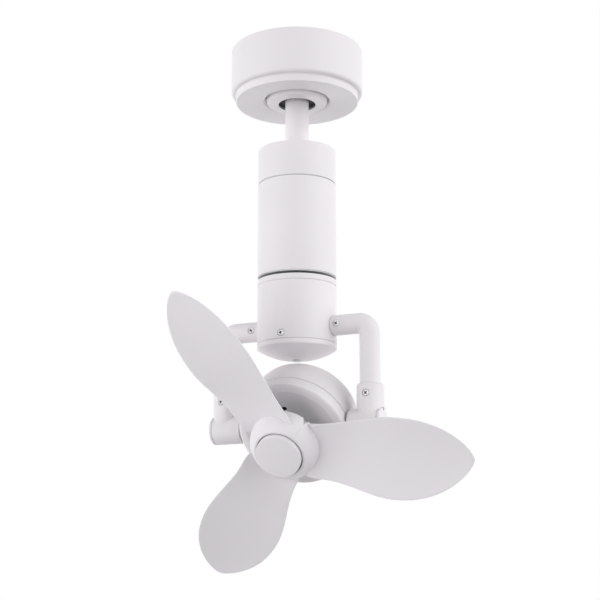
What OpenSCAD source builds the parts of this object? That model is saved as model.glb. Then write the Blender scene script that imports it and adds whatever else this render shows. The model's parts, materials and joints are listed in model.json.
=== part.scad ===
// Orbital ceiling fan with one tilting head on a two-armed yoke.
// Millimetres. The origin is the centre of the hanger plate's top face, at the ceiling.
// +Z is up, the yoke arms lie along X, and the fan head looks towards -Y and down.

/* [Ceiling end] */
// Outside diameter of the canopy drum
canopy_d = 150; // [140:1:180]
// Height of the canopy drum
canopy_h = 52; // [50:1:70]
// Sheet thickness of the canopy and its cover
canopy_wall = 1.5; // [1:0.1:2.5]
// Gap between the canopy's rim and the ceiling
canopy_gap = 1; // [0.5:0.1:3]
// Outside diameter of the cover ring under the canopy
cover_d = 139; // [136:1:142]
// Height of the cover ring
cover_h = 9; // [7:0.5:14]
// Opening in the cover ring
cover_hole_d = 80; // [74:1:90]
// How far the cover's underside rises from its rim to its opening
cover_dish = 2; // [0:0.1:3]
// Thickness of the hanger plate and its legs
plate_t = 2.5; // [2:0.1:3.5]
// Distance between the two ceiling slots
slot_spacing = 70; // [60:1:76]
// Width of a ceiling slot
slot_w = 5.2; // [4.5:0.1:6.5]
// End to end length of a ceiling slot
slot_len = 14; // [10:0.5:18]

/* [Ball joint] */
// Diameter of the hanger ball
ball_d = 56; // [54:0.5:60]
// Outside diameter of the socket ring
socket_d = 69; // [65:0.5:70]
// Hole in the socket ring round the down rod
socket_hole_d = 42; // [40:0.5:44]
// How far the socket ring's face hangs below the canopy cover
socket_drop = 1.5; // [0.5:0.1:4]
// Width of the anti-turn key in the socket
key_w = 4.4; // [3:0.1:6]
// Running clearance of each fit, on the radius
fit = 0.05; // [0.02:0.01:0.1]

/* [Down rod] */
// Outside diameter of the down rod
rod_d = 26.7; // [25:0.1:28]
// Wall of the down rod
rod_wall = 2.2; // [1.5:0.1:3]
// Length of the down rod
rod_len = 128; // [120:1:400]
// Diameter of the two cross pins through the rod
pin_d = 6; // [5:0.1:7]

/* [Drive housing] */
// Outside diameter of the drive housing
housing_d = 87.5; // [87:0.5:95]
// Wall of the housing shells
housing_wall = 2; // [1.5:0.1:2.5]
// Height of the upper cap
upper_cap_h = 39.4; // [38:0.2:50]
// Height of the main sleeve
sleeve_h = 106.4; // [106:0.2:140]
// Height of the open gap above the turning part
gap_h = 2.8; // [2:0.1:4]
// Height of the thin carrier ring
carrier_h = 6; // [5:0.1:9]
// Height of a groove line between two shells
groove_h = 1; // [0.5:0.1:1.5]
// Depth of a groove line
groove_depth = 0.9; // [0.5:0.1:1.3]
// Height of the lower housing
lower_h = 64; // [62:0.5:80]
// Height of the straight rim of the bottom cap
rim_h = 5; // [3:0.1:8]
// Depth of the bottom cap's dome
dome_h = 12; // [8:0.5:13]
// Diameter of the plug in the middle of the dome
button_d = 10; // [8:0.5:14]

/* [Orbit drive] */
// Gear module
gear_m = 1; // [1:1:1]
// Teeth of the gear on the orbit shaft
gear_teeth = 38; // [38:1:38]
// Teeth of the motor's pinion
pinion_teeth = 14; // [14:1:14]
// Width of the gears' faces
gear_w = 6; // [4:0.5:8]
// Diameter of the geared motor
drive_d = 25; // [22:0.5:26]
// Diameter of the orbit shaft
shaft_d = 15; // [15:0.1:16]
// Bore of the orbit shaft, for the leads
shaft_bore = 8; // [7:0.1:9]
// Outside diameter of the orbit bearing
bearing_d = 28; // [27.6:0.1:30]
// Width of the orbit bearing
bearing_w = 7; // [6:0.1:8]
// Diameter of the slip ring's capsule
slip_d = 12.5; // [12:0.1:13]
// Height of the slip ring's capsule
slip_h = 28; // [24:0.5:30]

/* [Yoke] */
// Distance of each upright tube from the fan's axis
arm_reach = 85; // [84:0.5:100]
// Gap between the bottom cap's plug and the motor case, at any tilt
head_gap = 2.8; // [2:0.1:20]
// Height from the arms' axis to the foot of the lower housing
arm_rise = 18; // [17:0.2:20]
// Outside diameter of the arm tubes
arm_d = 22.4; // [21:0.1:23]
// Wall of the arm tubes
arm_wall = 2; // [1.5:0.1:2.2]
// Bend radius of the elbows, on the tube's centre line
elbow_r = 12; // [11.8:0.1:20]
// Outside diameter of the collar of a T fitting
collar_d = 29.4; // [28:0.2:32]
// Height of the collar above the tilt axis
collar_h = 42; // [36:0.5:50]
// Outside diameter of the pivot boss of a T fitting
boss_d = 31; // [30:0.5:34]
// Gap between the boss's inner face and the motor case
boss_gap = 1.5; // [1.5:0.1:2.5]
// How far the boss reaches past the upright tube's axis
boss_over = 11; // [10:0.5:14]
// Thickness of the rounded cap on the boss
boss_cap_t = 3.5; // [3:0.1:5]
// Diameter of the pivot journal
journal_d = 16; // [14:0.5:17]

/* [Screws] */
// Head diameter of the small screws
screw_head_d = 6.8; // [6:0.1:7.5]
// Head height of the small screws
screw_head_h = 1.9; // [1.5:0.1:2.5]
// Shank diameter of the small screws
screw_d = 3.2; // [2.8:0.1:3.6]
// Clearance round a screw head, on the radius
head_clear = 0.4; // [0.2:0.05:0.6]

/* [Motor head] */
// Angle of the fan's axis below the horizontal at rest
rest_tilt = 37; // [20:1:60]
// Outside diameter of the motor case
case_d = 123; // [120:0.5:124]
// Wall of the motor case
case_wall = 2.2; // [1.6:0.1:2.6]
// Front edge of the motor case, in front of the tilt axis
case_front = 17; // [15:0.5:20]
// Back of the motor case, behind the tilt axis
case_back = 42; // [41:0.5:45]
// Radius of the case's rear shoulder
case_shoulder = 14; // [12:0.5:20]
// Where the two halves of the case meet, in front of the tilt axis
case_seam = 1.4; // [1:0.1:2]
// Width of the flat rim round the recessed front face
case_rim = 7; // [5:0.5:9]
// Depth of the recessed front face
case_recess = 7.5; // [5:0.5:8]
// Diameter of the motor's shaft
spindle_d = 10; // [9:0.1:11]

/* [Blades] */
// Number of blades
blades = 3; // [3:1:3]
// Radius of the blade tips
blade_tip_r = 203.2; // [180:0.5:260]
// Widest chord of a blade
chord_max = 88; // [70:1:95]
// Chord of a blade at the hub
chord_root = 61; // [50:1:62]
// Radius at which the blade is widest
widest_r = 121; // [100:1:140]
// Pitch angle of the blades
pitch = 13.5; // [8:0.5:16]
// Blade's middle in front of the tilt axis, at the hub
blade_root_z = 43; // [42:0.5:45]
// Blade's middle in front of the tilt axis, at its widest
blade_mid_z = 48; // [46:0.5:50]
// Blade's middle in front of the tilt axis, at the tip
blade_tip_z = 40; // [38:0.5:46]
// Hollow of the blade's front face, as a share of its chord
camber = 0.05; // [0:0.005:0.08]
// Thickness of a blade at its middle
blade_t = 3.2; // [2.5:0.1:4]
// Turn of the first blade from the X axis, seen from the front
blade_turn = 113; // [0:1:119]
// Radius of the hub's cone at its back
hub_back_r = 38.7; // [37:0.1:40]
// Radius of the hub's cone at its front
hub_front_r = 28.3; // [27.8:0.1:30]
// Back of the hub's cone, in front of the tilt axis
hub_back_z = 32.3; // [31:0.1:34]
// Length of the hub's cone
hub_len = 23.7; // [20:0.1:26]
// Diameter of the centre cap
spinner_d = 49.2; // [47:0.1:49.6]
// Height of the centre cap in front of the hub's cone
spinner_h = 9; // [6:0.5:12]

/* [Hidden] */
$fn = 96;

big = 400;                       // longer than any cut needs
eps = 0.01;

// Ceiling end, from the ceiling down
canopy_r = canopy_d / 2;
z_flange = -canopy_gap - canopy_h;                 // underside of the canopy's flange
z_cover = z_flange - cover_h;                      // underside of the cover ring
z_lip = z_cover - socket_drop;                     // lowest edge of the socket ring
ball_r = ball_d / 2;
seat_r = ball_r + fit;
z_ball = z_lip + sqrt(seat_r * seat_r - pow(socket_hole_d / 2, 2));
leg_x = 52;                                        // outside of the hanger's two legs
leg_w = 26;                                        // width of the legs
ear_t = 3;                                         // thickness of the socket's ears
foot_len = 14;                                     // length of the legs' feet
tab_y = 57.5;                                      // outside of the canopy tabs
tab_w = 16;                                        // width of the canopy tabs
tab_foot = 9.5;                                    // length of the tabs' feet
flange_in_r = 56;                                  // inner edge of the canopy's flange
cable_hole_r = 12;                                 // hole for the supply cable
bar_w = 30;                                        // width of the plate's cross bar
block_l = 26;                                      // terminal block under the bar
block_w1 = 14;
block_h = 12;
block_y = 40;
block_step = 8;
wire_way_r = 1.8;

// Ball joint and rod
ball_cut = 14.5;                                   // flat under the ball, below its centre
ball_top = 12;                                     // flat on top of the ball
socket_round = 1.2;                                // rounding of the socket ring's lower edge
key_in = 3;                                        // how far the key reaches into the ball
key_clear = 0.3;
key_low = 13;                                      // foot of the key, below the ball's centre
key_high = 6;                                      // top of the key, below the ball's centre
slot_high = 3;                                     // top of the key's slot, above the ball's centre
rod_r = rod_d / 2;
rod_above = 21;                                    // rod end above the ball's centre
z_rod_top = z_ball + rod_above;
z_rod_end = z_rod_top - rod_len;
pin_r = pin_d / 2;
z_pin = z_ball + ball_top + 0.5;
low_pin_up = 14;                                   // lower pin, above the rod's end
z_low_pin = z_rod_end + low_pin_up;

// Drive housing, from the top down
housing_r = housing_d / 2;
shell_in = housing_r - housing_wall;
rod_seat = 31;                                     // rod's depth in the drive housing
z_top = z_rod_end + rod_seat;
z_seam1 = z_top - upper_cap_h;
z_sleeve = z_seam1 - groove_h;
z_sleeve_end = z_sleeve - sleeve_h;
lip_t = 1.2;                                       // lip that carries the sleeve
z_fixed_end = z_sleeve_end - lip_t;
z_carrier = z_fixed_end - gap_h;
z_seam2 = z_carrier - carrier_h;
z_lower = z_seam2 - groove_h;
z_lower_end = z_lower - lower_h;
z_rim = z_lower_end - groove_h / 2;
z_dome = z_rim - rim_h;
z_arm = z_lower_end + arm_rise;
case_r = case_d / 2;
bulge = 3.6;                                       // how far the case's back bulges behind its shoulder
plug_proud = 1.4;                                  // how far the plug hangs below the dome
shoulder_back = case_back - bulge - case_shoulder * sin(60);
case_reach = case_shoulder + sqrt(pow(case_r - case_shoulder, 2) + pow(shoulder_back, 2));
yoke_drop = arm_rise + groove_h / 2 + rim_h + dome_h + plug_proud + head_gap + case_reach;
z_tilt = z_arm - yoke_drop;
boss_in = case_r + boss_gap;
boss_out = arm_reach + boss_over;

// Coupling and chassis
plate_h = 3;                                       // chassis plate below the groove
z_chassis = z_seam1 - groove_h - plate_h;          // underside of the chassis plate
coupling_r = 20;
coupling_flange_r = 30;
coupling_flange_h = 4;
z_coupling = z_top - housing_wall - 1.5;           // top of the coupling
lead_r = 1.8;                                      // supply lead
motor_lead_r = 1.5;
lead_x = 6;                                        // supply lead's place in the rod, clear of the pins
lead_y = 6.2;
lead_drop = 9;                                     // where it turns, under the chassis plate
post_r = 3;
post_ring = 36.4;
post_angles = [60, 120, 240, 300];

// Bearing and shaft
shaft_r = shaft_d / 2;
bearing_r = bearing_d / 2;
race_t = 1.8;
plate_top = z_sleeve_end + bearing_w;              // top of the bearing plate
ball_track = (shaft_r + bearing_r) / 2;
race_ball_r = (bearing_r - shaft_r - 2 * race_t) / 2 - fit;
race_balls = 11;
shoulder_r = shaft_r + 1.5;
nut_h = 5;
nut_r = shaft_r + 4.5;
flange_r = 16;                                     // flange at the foot of the orbit shaft
flange_t = 4;
z_flange_low = z_seam2 - flange_t;

// Gears: centre distance, and the drive motor standing on the bearing plate
gear_pitch_r = gear_m * gear_teeth / 2;
pinion_pitch_r = gear_m * pinion_teeth / 2;
gear_gap = 0.15;                                   // centres a little further apart, for backlash
drive_x = gear_pitch_r + pinion_pitch_r + gear_gap;
drive_h = 47;
z_drive = plate_top + drive_h;                     // top of the geared motor
gear_lift = 2;
z_gear = z_drive + gear_lift;
z_shaft_top = z_gear + gear_w + 4;
pinion_shaft_r = 2.5;
slip_r = slip_d / 2;
slip_bore = 3;
z_slip = z_chassis - slip_h;                       // underside of the slip ring

// Receiver box
receiver_size = [16, 48, 37];
receiver_gap = 2.4;                                // from the box to the sleeve's wall, at its corners
receiver_x = -(sqrt(pow(shell_in - receiver_gap, 2) - pow(receiver_size[1] / 2, 2)) - receiver_size[0] / 2);

// Yoke
arm_r = arm_d / 2;
arm_bore = arm_r - arm_wall;
stub_r = arm_bore - fit;
stub_len = 16;
stub_end = housing_r + stub_len;
stub_bore = 4.5;
saddle = 0.5;                                      // gap between arm end and housing
arm_screw_x = housing_r + 6.8;
block_x = 30;
block_w = 26;
stem_r = 15;
collar_r = collar_d / 2;
boss_r = boss_d / 2;
collar_chamfer = 2.5;
tube_seat = 18;                                    // tube's end above the tilt axis
tee_screw_z = z_tilt + 30;
wire_hole_r = 4;
journal_r = journal_d / 2;
chamber_r = 12;
chamber_in = 5;
chamber_x = arm_reach - chamber_in;                // inner end of the boss's chamber
cap_plug = 4;                                      // depth of the boss cap's plug
seat_depth = 1.3;                                  // depth of a screw's seat
pocket_h = 10;                                     // height of the room over a screw's seat
screw_r = screw_d / 2;
head_r = screw_head_d / 2;
cap_screw_z = z_lower_end + 6;
skirt_h = 11;                                      // skirt of the bottom cap inside the housing
cap_screw_angles = [-90, 30, 150];

// Motor head, along its own axis from the tilt axis, forwards positive
case_in = case_r - case_wall;
frame_in = 50;                                     // inside of the motor frame ring
frame_back = -14;
frame_front = 4;
stud_bolt_r = 5;
nut_share = 1.72;                                  // a nut's corner radius over its thread's radius
stud_flange_r = 12;
stud_gap = 0.3;                                    // between a stud's flange and the boss
stud_end = boss_out - cap_plug - 1.5;
stud_bore = 2.2;                                   // for the motor's lead
washer_t = 1;
washer_x = chamber_x + 0.2;                        // friction washer's inner face
spindle_r = spindle_d / 2;
roller_r = 13;                                     // outside of the rotor bearings
roller_w = 8;
roller_wall = 3;
face_t = 2.5;                                      // thickness of the recessed front face
vent_ring = 27.7;                                  // circle of the vents in the recessed face
vent_len = 10;
vent_w = 4.6;
vent_turn = 103;                                   // first vent, from the X axis
vents = 3;
face_z = case_front - case_recess;                 // front of the recessed face
front_bearing_z = face_z - face_t - 6;
rear_bearing_z = -case_back + case_wall + 0.3;
core_r = 31.4;                                     // rotor's outside
air_gap = 0.6;
stack_back = -13;                                  // laminations
stack_front = -1;
teeth = 12;
tooth_w = 6;
tooth_in = core_r + air_gap;
yoke_in = 43;
coil_t = 3;

// Hub and blades
hub_wall = 3;
flange_front = hub_back_z + hub_wall;
hub_front_z = hub_back_z + hub_len;
spinner_r = spinner_d / 2;
spinner_gap = 1.6;                                 // dark ring round the centre cap
cone_in = spinner_r + spinner_gap;
plate_r = hub_back_r - 4.7;                        // hub plate behind the blades
plate_thick = 4;
plate_z = hub_back_z - plate_thick;
hub_boss_r = 12;
hub_boss_z = case_front - 2;                       // back of the hub plate's boss
root_in_r = 12;                                    // inner edge of the blade roots
sector_gap = 0.25;                                 // between two blades' sectors, each side
seam_shift = 11;                                   // turns the seams towards the leading edges
notch_w = 9;
notch_h = 10;
notch_deep = 14;                                   // how far a notch's cutter reaches along the radius
blade_sweep = -2.2;
root_u = 16;                                       // where the blade's skin starts
root_taper = 11;                                   // how much the chord narrows inside the hub
edge_t = 1.2;                                      // thickness at the edges
root_end_u = 38;                                   // chord starts to widen here
rise_u = 50;                                       // middle line starts to bow forwards here
span_steps = 22;
chord_steps = 10;
screw_ring = 18;                                   // blade screws' circle
spinner_skirt_t = 2;
spinner_edge = 3;
spindle_nut_h = 5;

white = [0.93, 0.93, 0.94];
steel = [0.72, 0.73, 0.75];
dark = [0.12, 0.12, 0.13];
brass = [0.8, 0.66, 0.35];

// ---------- shared shapes ----------

module ring(outer, inner, z0, z1) {
    translate([0, 0, z0])
        difference() {
            cylinder(r = outer, h = z1 - z0);
            translate([0, 0, -1]) cylinder(r = inner, h = z1 - z0 + 2);
        }
}

// Room for a slot with round ends, along X
module slot(length, width, height) {
    half = (length - width) / 2;
    for (e = [-1, 1]) translate([e * half, 0, 0]) cylinder(d = width, h = height);
    translate([-half, -width / 2, 0]) cube([2 * half, width, height]);
}

// A rod along X from x0 to x1
module x_rod(r, x0, x1) {
    translate([x0, 0, 0]) rotate([0, 90, 0]) cylinder(r = r, h = x1 - x0);
}

// A rod along -Y from y0 to y1, measured towards the front
module front_rod(r, y0, y1) {
    translate([0, -y0, 0]) rotate([90, 0, 0]) cylinder(r = r, h = y1 - y0);
}

// A pan head screw whose head sits on z = 0, with a cross recess
module pan_screw(length) {
    cross_w = 1;
    cross_l = 4;
    cross_h = 1.3;
    difference() {
        union() {
            intersection() {
                cylinder(r = head_r, h = screw_head_h);
                translate([0, 0, screw_head_h - 2.2 * head_r]) sphere(r = 2.2 * head_r);
            }
            translate([0, 0, -length]) cylinder(r = screw_r, h = length + eps);
        }
        for (a = [0, 90])
            rotate([0, 0, a])
                translate([-cross_l / 2, -cross_w / 2, screw_head_h - cross_h])
                    cube([cross_l, cross_w, cross_h + 1]);
    }
}

// The same screw, pointing inwards, with its head's seat at a distance y towards the front
module front_screw(y, length) {
    translate([0, -y, 0]) rotate([90, 0, 0]) pan_screw(length);
}

// Room for a front screw: its head's pocket and its shank's hole
module front_screw_room(y, depth) {
    front_rod(head_r + head_clear, y, y + pocket_h);
    front_rod(screw_r + fit, y - depth, y + eps);
}

// Moves what is drawn along the head's own axis to its place at rest
module head() {
    translate([0, 0, z_tilt]) rotate([90 + rest_tilt, 0, 0]) children();
}

// ---------- ceiling end ----------

module hanger_bracket() {
    color(steel) difference() {
        union() {
            translate([-leg_x, -leg_w / 2, -plate_t]) cube([2 * leg_x, leg_w, plate_t]);
            translate([-bar_w / 2, -tab_y, -plate_t]) cube([bar_w, 2 * tab_y, plate_t]);
            for (s = [-1, 1]) {
                // Leg and its foot, which carries the socket's ear
                translate([s * (leg_x - plate_t / 2) - plate_t / 2, -leg_w / 2, z_flange])
                    cube([plate_t, leg_w, -z_flange]);
                translate([s * (leg_x - foot_len / 2) - foot_len / 2, -leg_w / 2, z_flange])
                    cube([foot_len, leg_w, plate_t]);
                // Tab and its foot, which carries the canopy
                translate([-tab_w / 2, s * (tab_y - plate_t / 2) - plate_t / 2, z_flange + canopy_wall])
                    cube([tab_w, plate_t, -z_flange - canopy_wall]);
                translate([-tab_w / 2, s * (tab_y + tab_foot / 2 - plate_t / 2) - tab_foot / 2 - plate_t / 2,
                        z_flange + canopy_wall])
                    cube([tab_w, tab_foot + plate_t, plate_t]);
            }
        }
        translate([0, 0, -plate_t - 1]) cylinder(r = cable_hole_r, h = plate_t + 2);
        for (s = [-1, 1]) {
            translate([s * slot_spacing / 2, 0, -plate_t - 1]) slot(slot_len, slot_w, plate_t + 2);
            translate([s * (leg_x - foot_len / 2), 0, z_flange - 1])
                cylinder(r = screw_r + fit, h = plate_t + 2);
            translate([0, s * (tab_y + tab_foot / 2), z_flange])
                cylinder(r = screw_r + fit, h = canopy_wall + plate_t + 1);
        }
    }
}

module terminal_block() {
    color([0.9, 0.88, 0.8]) difference() {
        translate([-block_l / 2, block_y - block_w1 / 2, -plate_t - block_h])
            cube([block_l, block_w1, block_h]);
        for (i = [-1, 0, 1])
            translate([i * block_step, block_y, -plate_t - block_h - 1])
                cylinder(r = wire_way_r, h = block_h / 2 + 1);
    }
}

// Screws that hold the socket's ears under the hanger's feet
module socket_screws() {
    color(steel)
        for (s = [-1, 1])
            translate([s * (leg_x - foot_len / 2), 0, z_flange - ear_t]) rotate([180, 0, 0])
                pan_screw(ear_t + plate_t);
}

module canopy() {
    edge = 2;
    color(white) difference() {
        union() {
            translate([0, 0, z_flange + edge]) cylinder(r = canopy_r, h = canopy_h - edge);
            translate([0, 0, z_flange]) cylinder(r1 = canopy_r - edge, r2 = canopy_r, h = edge);
        }
        translate([0, 0, z_flange + canopy_wall]) cylinder(r = canopy_r - edge, h = edge);
        translate([0, 0, z_flange + canopy_wall + edge - eps])
            cylinder(r = canopy_r - canopy_wall, h = canopy_h);
        translate([0, 0, z_flange - 1]) cylinder(r = flange_in_r, h = canopy_h);
        for (s = [-1, 1])
            translate([0, s * (tab_y + tab_foot / 2), z_flange - 1])
                cylinder(r = screw_r + fit, h = canopy_wall + 2);
    }
}

module canopy_screws() {
    color(steel)
        for (s = [-1, 1])
            translate([0, s * (tab_y + tab_foot / 2), z_flange]) rotate([180, 0, 0])
                pan_screw(canopy_wall + plate_t);
}

module canopy_cover() {
    cover_r = cover_d / 2;
    hole_r = cover_hole_d / 2;
    edge = 1.2;
    // rim, then the underside, which rises to the opening like a shallow dish
    color(white) translate([0, 0, z_cover]) rotate_extrude()
        polygon([[hole_r, cover_dish], [cover_r - edge, 0], [cover_r, edge], [cover_r, cover_h],
            [cover_r - canopy_wall, cover_h], [cover_r - canopy_wall, canopy_wall],
            [hole_r, cover_dish + canopy_wall]]);
}

// The socket ring: a seat for the ball, a flat face below, two ears and the anti-turn key
module ball_socket() {
    lip_r = socket_hole_d / 2;
    outer = socket_d / 2;
    corner = [for (a = [-90 : 22.5 : 0])
        [outer - socket_round + socket_round * cos(a), z_lip + socket_round + socket_round * sin(a)]];
    color(white) {
        difference() {
            union() {
                rotate_extrude()
                    polygon(concat([[lip_r, z_flange], [lip_r, z_lip]], corner, [[outer, z_flange]]));
                translate([-leg_x, -leg_w / 2, z_flange - ear_t]) cube([2 * leg_x, leg_w, ear_t]);
            }
            translate([0, 0, z_ball]) sphere(r = seat_r);
            translate([0, 0, z_ball]) cylinder(r = seat_r, h = big);
            for (s = [-1, 1])
                translate([s * (leg_x - foot_len / 2), 0, z_flange - ear_t - 1])
                    cylinder(r = screw_r + fit, h = ear_t + 2);
        }
        // the key stands in the seat and reaches into the ball's slot
        difference() {
            translate([-key_w / 2, 0, z_ball - key_low]) cube([key_w, seat_r + 1, key_low - key_high]);
            translate([0, 0, z_ball]) sphere(r = ball_r - key_in);
        }
    }
}

// ---------- ball, rod and drive housing (hang from the socket) ----------

module hanger_ball() {
    color(dark) difference() {
        translate([0, 0, z_ball]) sphere(r = ball_r);
        translate([0, 0, z_ball - ball_cut - big]) cylinder(r = ball_d, h = big);
        translate([0, 0, z_ball + ball_top]) cylinder(r = ball_d, h = big);
        translate([0, 0, z_ball - ball_d]) cylinder(r = rod_r + fit, h = 2 * ball_d);
        translate([0, 0, z_pin]) x_rod(pin_r + fit, -ball_r, ball_r);
        // slot for the socket's key, to a depth that keeps clear of it at every swing
        difference() {
            translate([-key_w / 2 - key_clear, 0, z_ball - ball_cut])
                cube([key_w + 2 * key_clear, ball_d, ball_cut + slot_high]);
            translate([0, 0, z_ball]) sphere(r = ball_r - key_in - key_clear);
        }
    }
}

module ball_pin() {
    pin_half = 22;
    color(steel) translate([0, 0, z_pin]) x_rod(pin_r, -pin_half, pin_half);
}

module down_rod() {
    color(white) difference() {
        ring(rod_r, rod_r - rod_wall, z_rod_end, z_rod_top);
        translate([0, 0, z_pin]) x_rod(pin_r + fit, -rod_d, rod_d);
        translate([0, 0, z_low_pin]) x_rod(pin_r + fit, -rod_d, rod_d);
    }
}

module rod_coupling() {
    color(steel) difference() {
        union() {
            translate([0, 0, z_seam1]) cylinder(r = coupling_r, h = z_coupling - z_seam1);
            translate([0, 0, z_seam1]) cylinder(r = coupling_flange_r, h = coupling_flange_h);
        }
        translate([0, 0, z_rod_end]) cylinder(r = rod_r + fit, h = big);
        translate([0, 0, z_seam1 - 1]) cylinder(r = rod_r - rod_wall, h = big);
        translate([0, 0, z_low_pin]) x_rod(pin_r + fit, -coupling_r - 1, coupling_r + 1);
    }
}

module coupling_pin() {
    pin_half = coupling_r + 4;
    color(steel) translate([0, 0, z_low_pin]) {
        x_rod(pin_r, -pin_half, pin_half);
        x_rod(pin_r + 1.5, coupling_r + 0.3, coupling_r + 1.8);
        x_rod(pin_r + 1.5, -coupling_r - 1.8, -coupling_r - 0.3);
    }
}

module upper_cap() {
    edge = 1.2;
    color(white) difference() {
        union() {
            translate([0, 0, z_seam1]) cylinder(r = housing_r, h = upper_cap_h - edge);
            translate([0, 0, z_top - edge]) cylinder(r1 = housing_r, r2 = housing_r - edge, h = edge);
        }
        translate([0, 0, z_seam1 - 1]) cylinder(r = shell_in, h = upper_cap_h + 2);
    }
}

// Disc let into the top of the upper cap, with the hole for the rod
module top_plate() {
    color(white) ring(shell_in - fit, rod_r + 1, z_top - housing_wall, z_top);
}

// The plate shows as the groove line between the upper cap and the sleeve
module chassis_plate() {
    color(steel) difference() {
        union() {
            translate([0, 0, z_sleeve]) cylinder(r = housing_r - groove_depth, h = groove_h);
            translate([0, 0, z_chassis]) cylinder(r = shell_in - fit, h = plate_h + eps);
        }
        translate([-lead_x, lead_y, z_chassis - 1]) cylinder(r = lead_r + 0.2, h = plate_h + groove_h + 2);
    }
}

module chassis_posts() {
    color(brass)
        for (a = post_angles)
            rotate([0, 0, a]) translate([post_ring, 0, plate_top])
                cylinder(r = post_r, h = z_chassis - plate_top);
}

module receiver() {
    corner = 2;
    color([0.95, 0.95, 0.9]) difference() {
        translate([receiver_x - receiver_size[0] / 2, -receiver_size[1] / 2, z_chassis - receiver_size[2]])
            cube(receiver_size);
        translate([receiver_x + receiver_size[0] / 2 - corner, lead_y, z_chassis - lead_drop])
            x_rod(lead_r + 0.2, 0, big);
    }
}

// Runs down inside the rod, through the chassis plate and into the receiver's side
module supply_lead() {
    turn = 4;
    z_bend = z_chassis - lead_drop;
    color(dark) translate([0, lead_y, 0]) {
        translate([-lead_x, 0, z_bend + turn]) cylinder(r = lead_r, h = z_rod_top - z_bend - turn);
        translate([-lead_x - turn, 0, z_bend + turn]) rotate([90, 0, 0])
            rotate([0, 0, -90]) rotate_extrude(angle = 90) translate([turn, 0]) circle(r = lead_r);
        translate([0, 0, z_bend])
            x_rod(lead_r, receiver_x + receiver_size[0] / 2 - 2, -lead_x - turn);
    }
}

module housing_sleeve() {
    color(white) ring(housing_r, shell_in, z_sleeve_end, z_sleeve);
}

// Closes the sleeve from below and holds the orbit bearing and the drive
module bearing_plate() {
    color(steel) difference() {
        union() {
            translate([0, 0, z_sleeve_end]) cylinder(r = shell_in - fit, h = bearing_w);
            translate([0, 0, z_fixed_end]) cylinder(r = housing_r - groove_depth, h = lip_t + eps);
        }
        translate([0, 0, z_sleeve_end]) cylinder(r = bearing_r + eps, h = bearing_w + 1);
        translate([0, 0, z_fixed_end - 1]) cylinder(r = bearing_r - race_t, h = lip_t + 2);
    }
}

// Outer race and balls
module orbit_bearing() {
    color(steel) {
        ring(bearing_r, bearing_r - race_t, z_sleeve_end, plate_top);
        for (i = [0 : race_balls - 1])
            rotate([0, 0, i * 360 / race_balls])
                translate([ball_track, 0, z_sleeve_end + bearing_w / 2]) sphere(r = race_ball_r);
    }
}

module orbit_motor() {
    flat = 3;
    color(steel) translate([drive_x, 0, plate_top]) difference() {
        union() {
            cylinder(d = drive_d, h = drive_h * 0.55);
            translate([0, 0, drive_h * 0.55]) cylinder(d = drive_d - 1, h = drive_h * 0.45);
        }
        translate([0, 0, drive_h - flat]) cylinder(r = pinion_shaft_r + fit, h = flat + 1);
    }
}

module slip_ring() {
    color(dark) difference() {
        translate([0, 0, z_slip]) cylinder(r = slip_r, h = slip_h);
        translate([0, 0, z_slip - 1]) cylinder(r = slip_bore, h = slip_h - 4);
    }
}

// ---------- gears ----------

// Spur gear outline with straight-flanked teeth, a tooth centred on the X axis
module gear_outline(teeth_n, thin) {
    pitch_r = gear_m * teeth_n / 2;
    tip_r = pitch_r + 0.9 * gear_m;
    root_r = pitch_r - 1.15 * gear_m;
    step = 360 / teeth_n;
    half_pitch = step / 4 - thin / pitch_r * 57.3;
    tip_half = half_pitch * 0.5;
    root_half = half_pitch * 1.5;
    polygon([for (i = [0 : teeth_n - 1]) for (p = [
        [root_r, -root_half], [pitch_r, -half_pitch], [tip_r, -tip_half],
        [tip_r, tip_half], [pitch_r, half_pitch], [root_r, root_half]])
        [p[0] * cos(i * step + p[1]), p[0] * sin(i * step + p[1])]]);
}

module orbit_pinion() {
    color(brass) translate([drive_x, 0, 0]) {
        // A gap of the pinion faces the gear's tooth
        translate([0, 0, z_gear]) rotate([0, 0, 180 + 180 / pinion_teeth])
            linear_extrude(gear_w) gear_outline(pinion_teeth, 0.06);
        translate([0, 0, z_drive - 2]) cylinder(r = pinion_shaft_r, h = gear_lift + 2 + eps);
    }
}

module orbit_gear() {
    color(brass) difference() {
        translate([0, 0, z_gear]) linear_extrude(gear_w) gear_outline(gear_teeth, 0.06);
        translate([0, 0, z_gear - 1]) cylinder(r = shaft_r + fit / 5, h = gear_w + 2);
    }
}

// ---------- turning part (orbits about Z) ----------

module orbit_shaft() {
    color(steel) difference() {
        union() {
            translate([0, 0, z_sleeve_end]) cylinder(r = shaft_r, h = z_shaft_top - z_sleeve_end);
            translate([0, 0, z_flange_low]) cylinder(r = shoulder_r, h = z_sleeve_end - z_flange_low);
            translate([0, 0, z_flange_low]) cylinder(r = flange_r, h = flange_t);
        }
        translate([0, 0, z_flange_low - 1]) cylinder(d = shaft_bore, h = big);
    }
}

module orbit_nut() {
    color(steel) difference() {
        translate([0, 0, plate_top]) cylinder(r = nut_r, h = nut_h, $fn = 6);
        translate([0, 0, plate_top - 1]) cylinder(r = shaft_r, h = nut_h + 2);
    }
}

module bearing_inner() {
    color(steel) ring(shaft_r + race_t, shaft_r, z_sleeve_end, plate_top);
}

module slip_rotor() {
    color(steel) {
        translate([0, 0, z_slip - 1]) cylinder(r = slip_bore - fit, h = slip_h - 5);
        translate([0, 0, z_shaft_top - 6]) cylinder(d = shaft_bore, h = z_slip - z_shaft_top + 5);
    }
}

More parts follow.
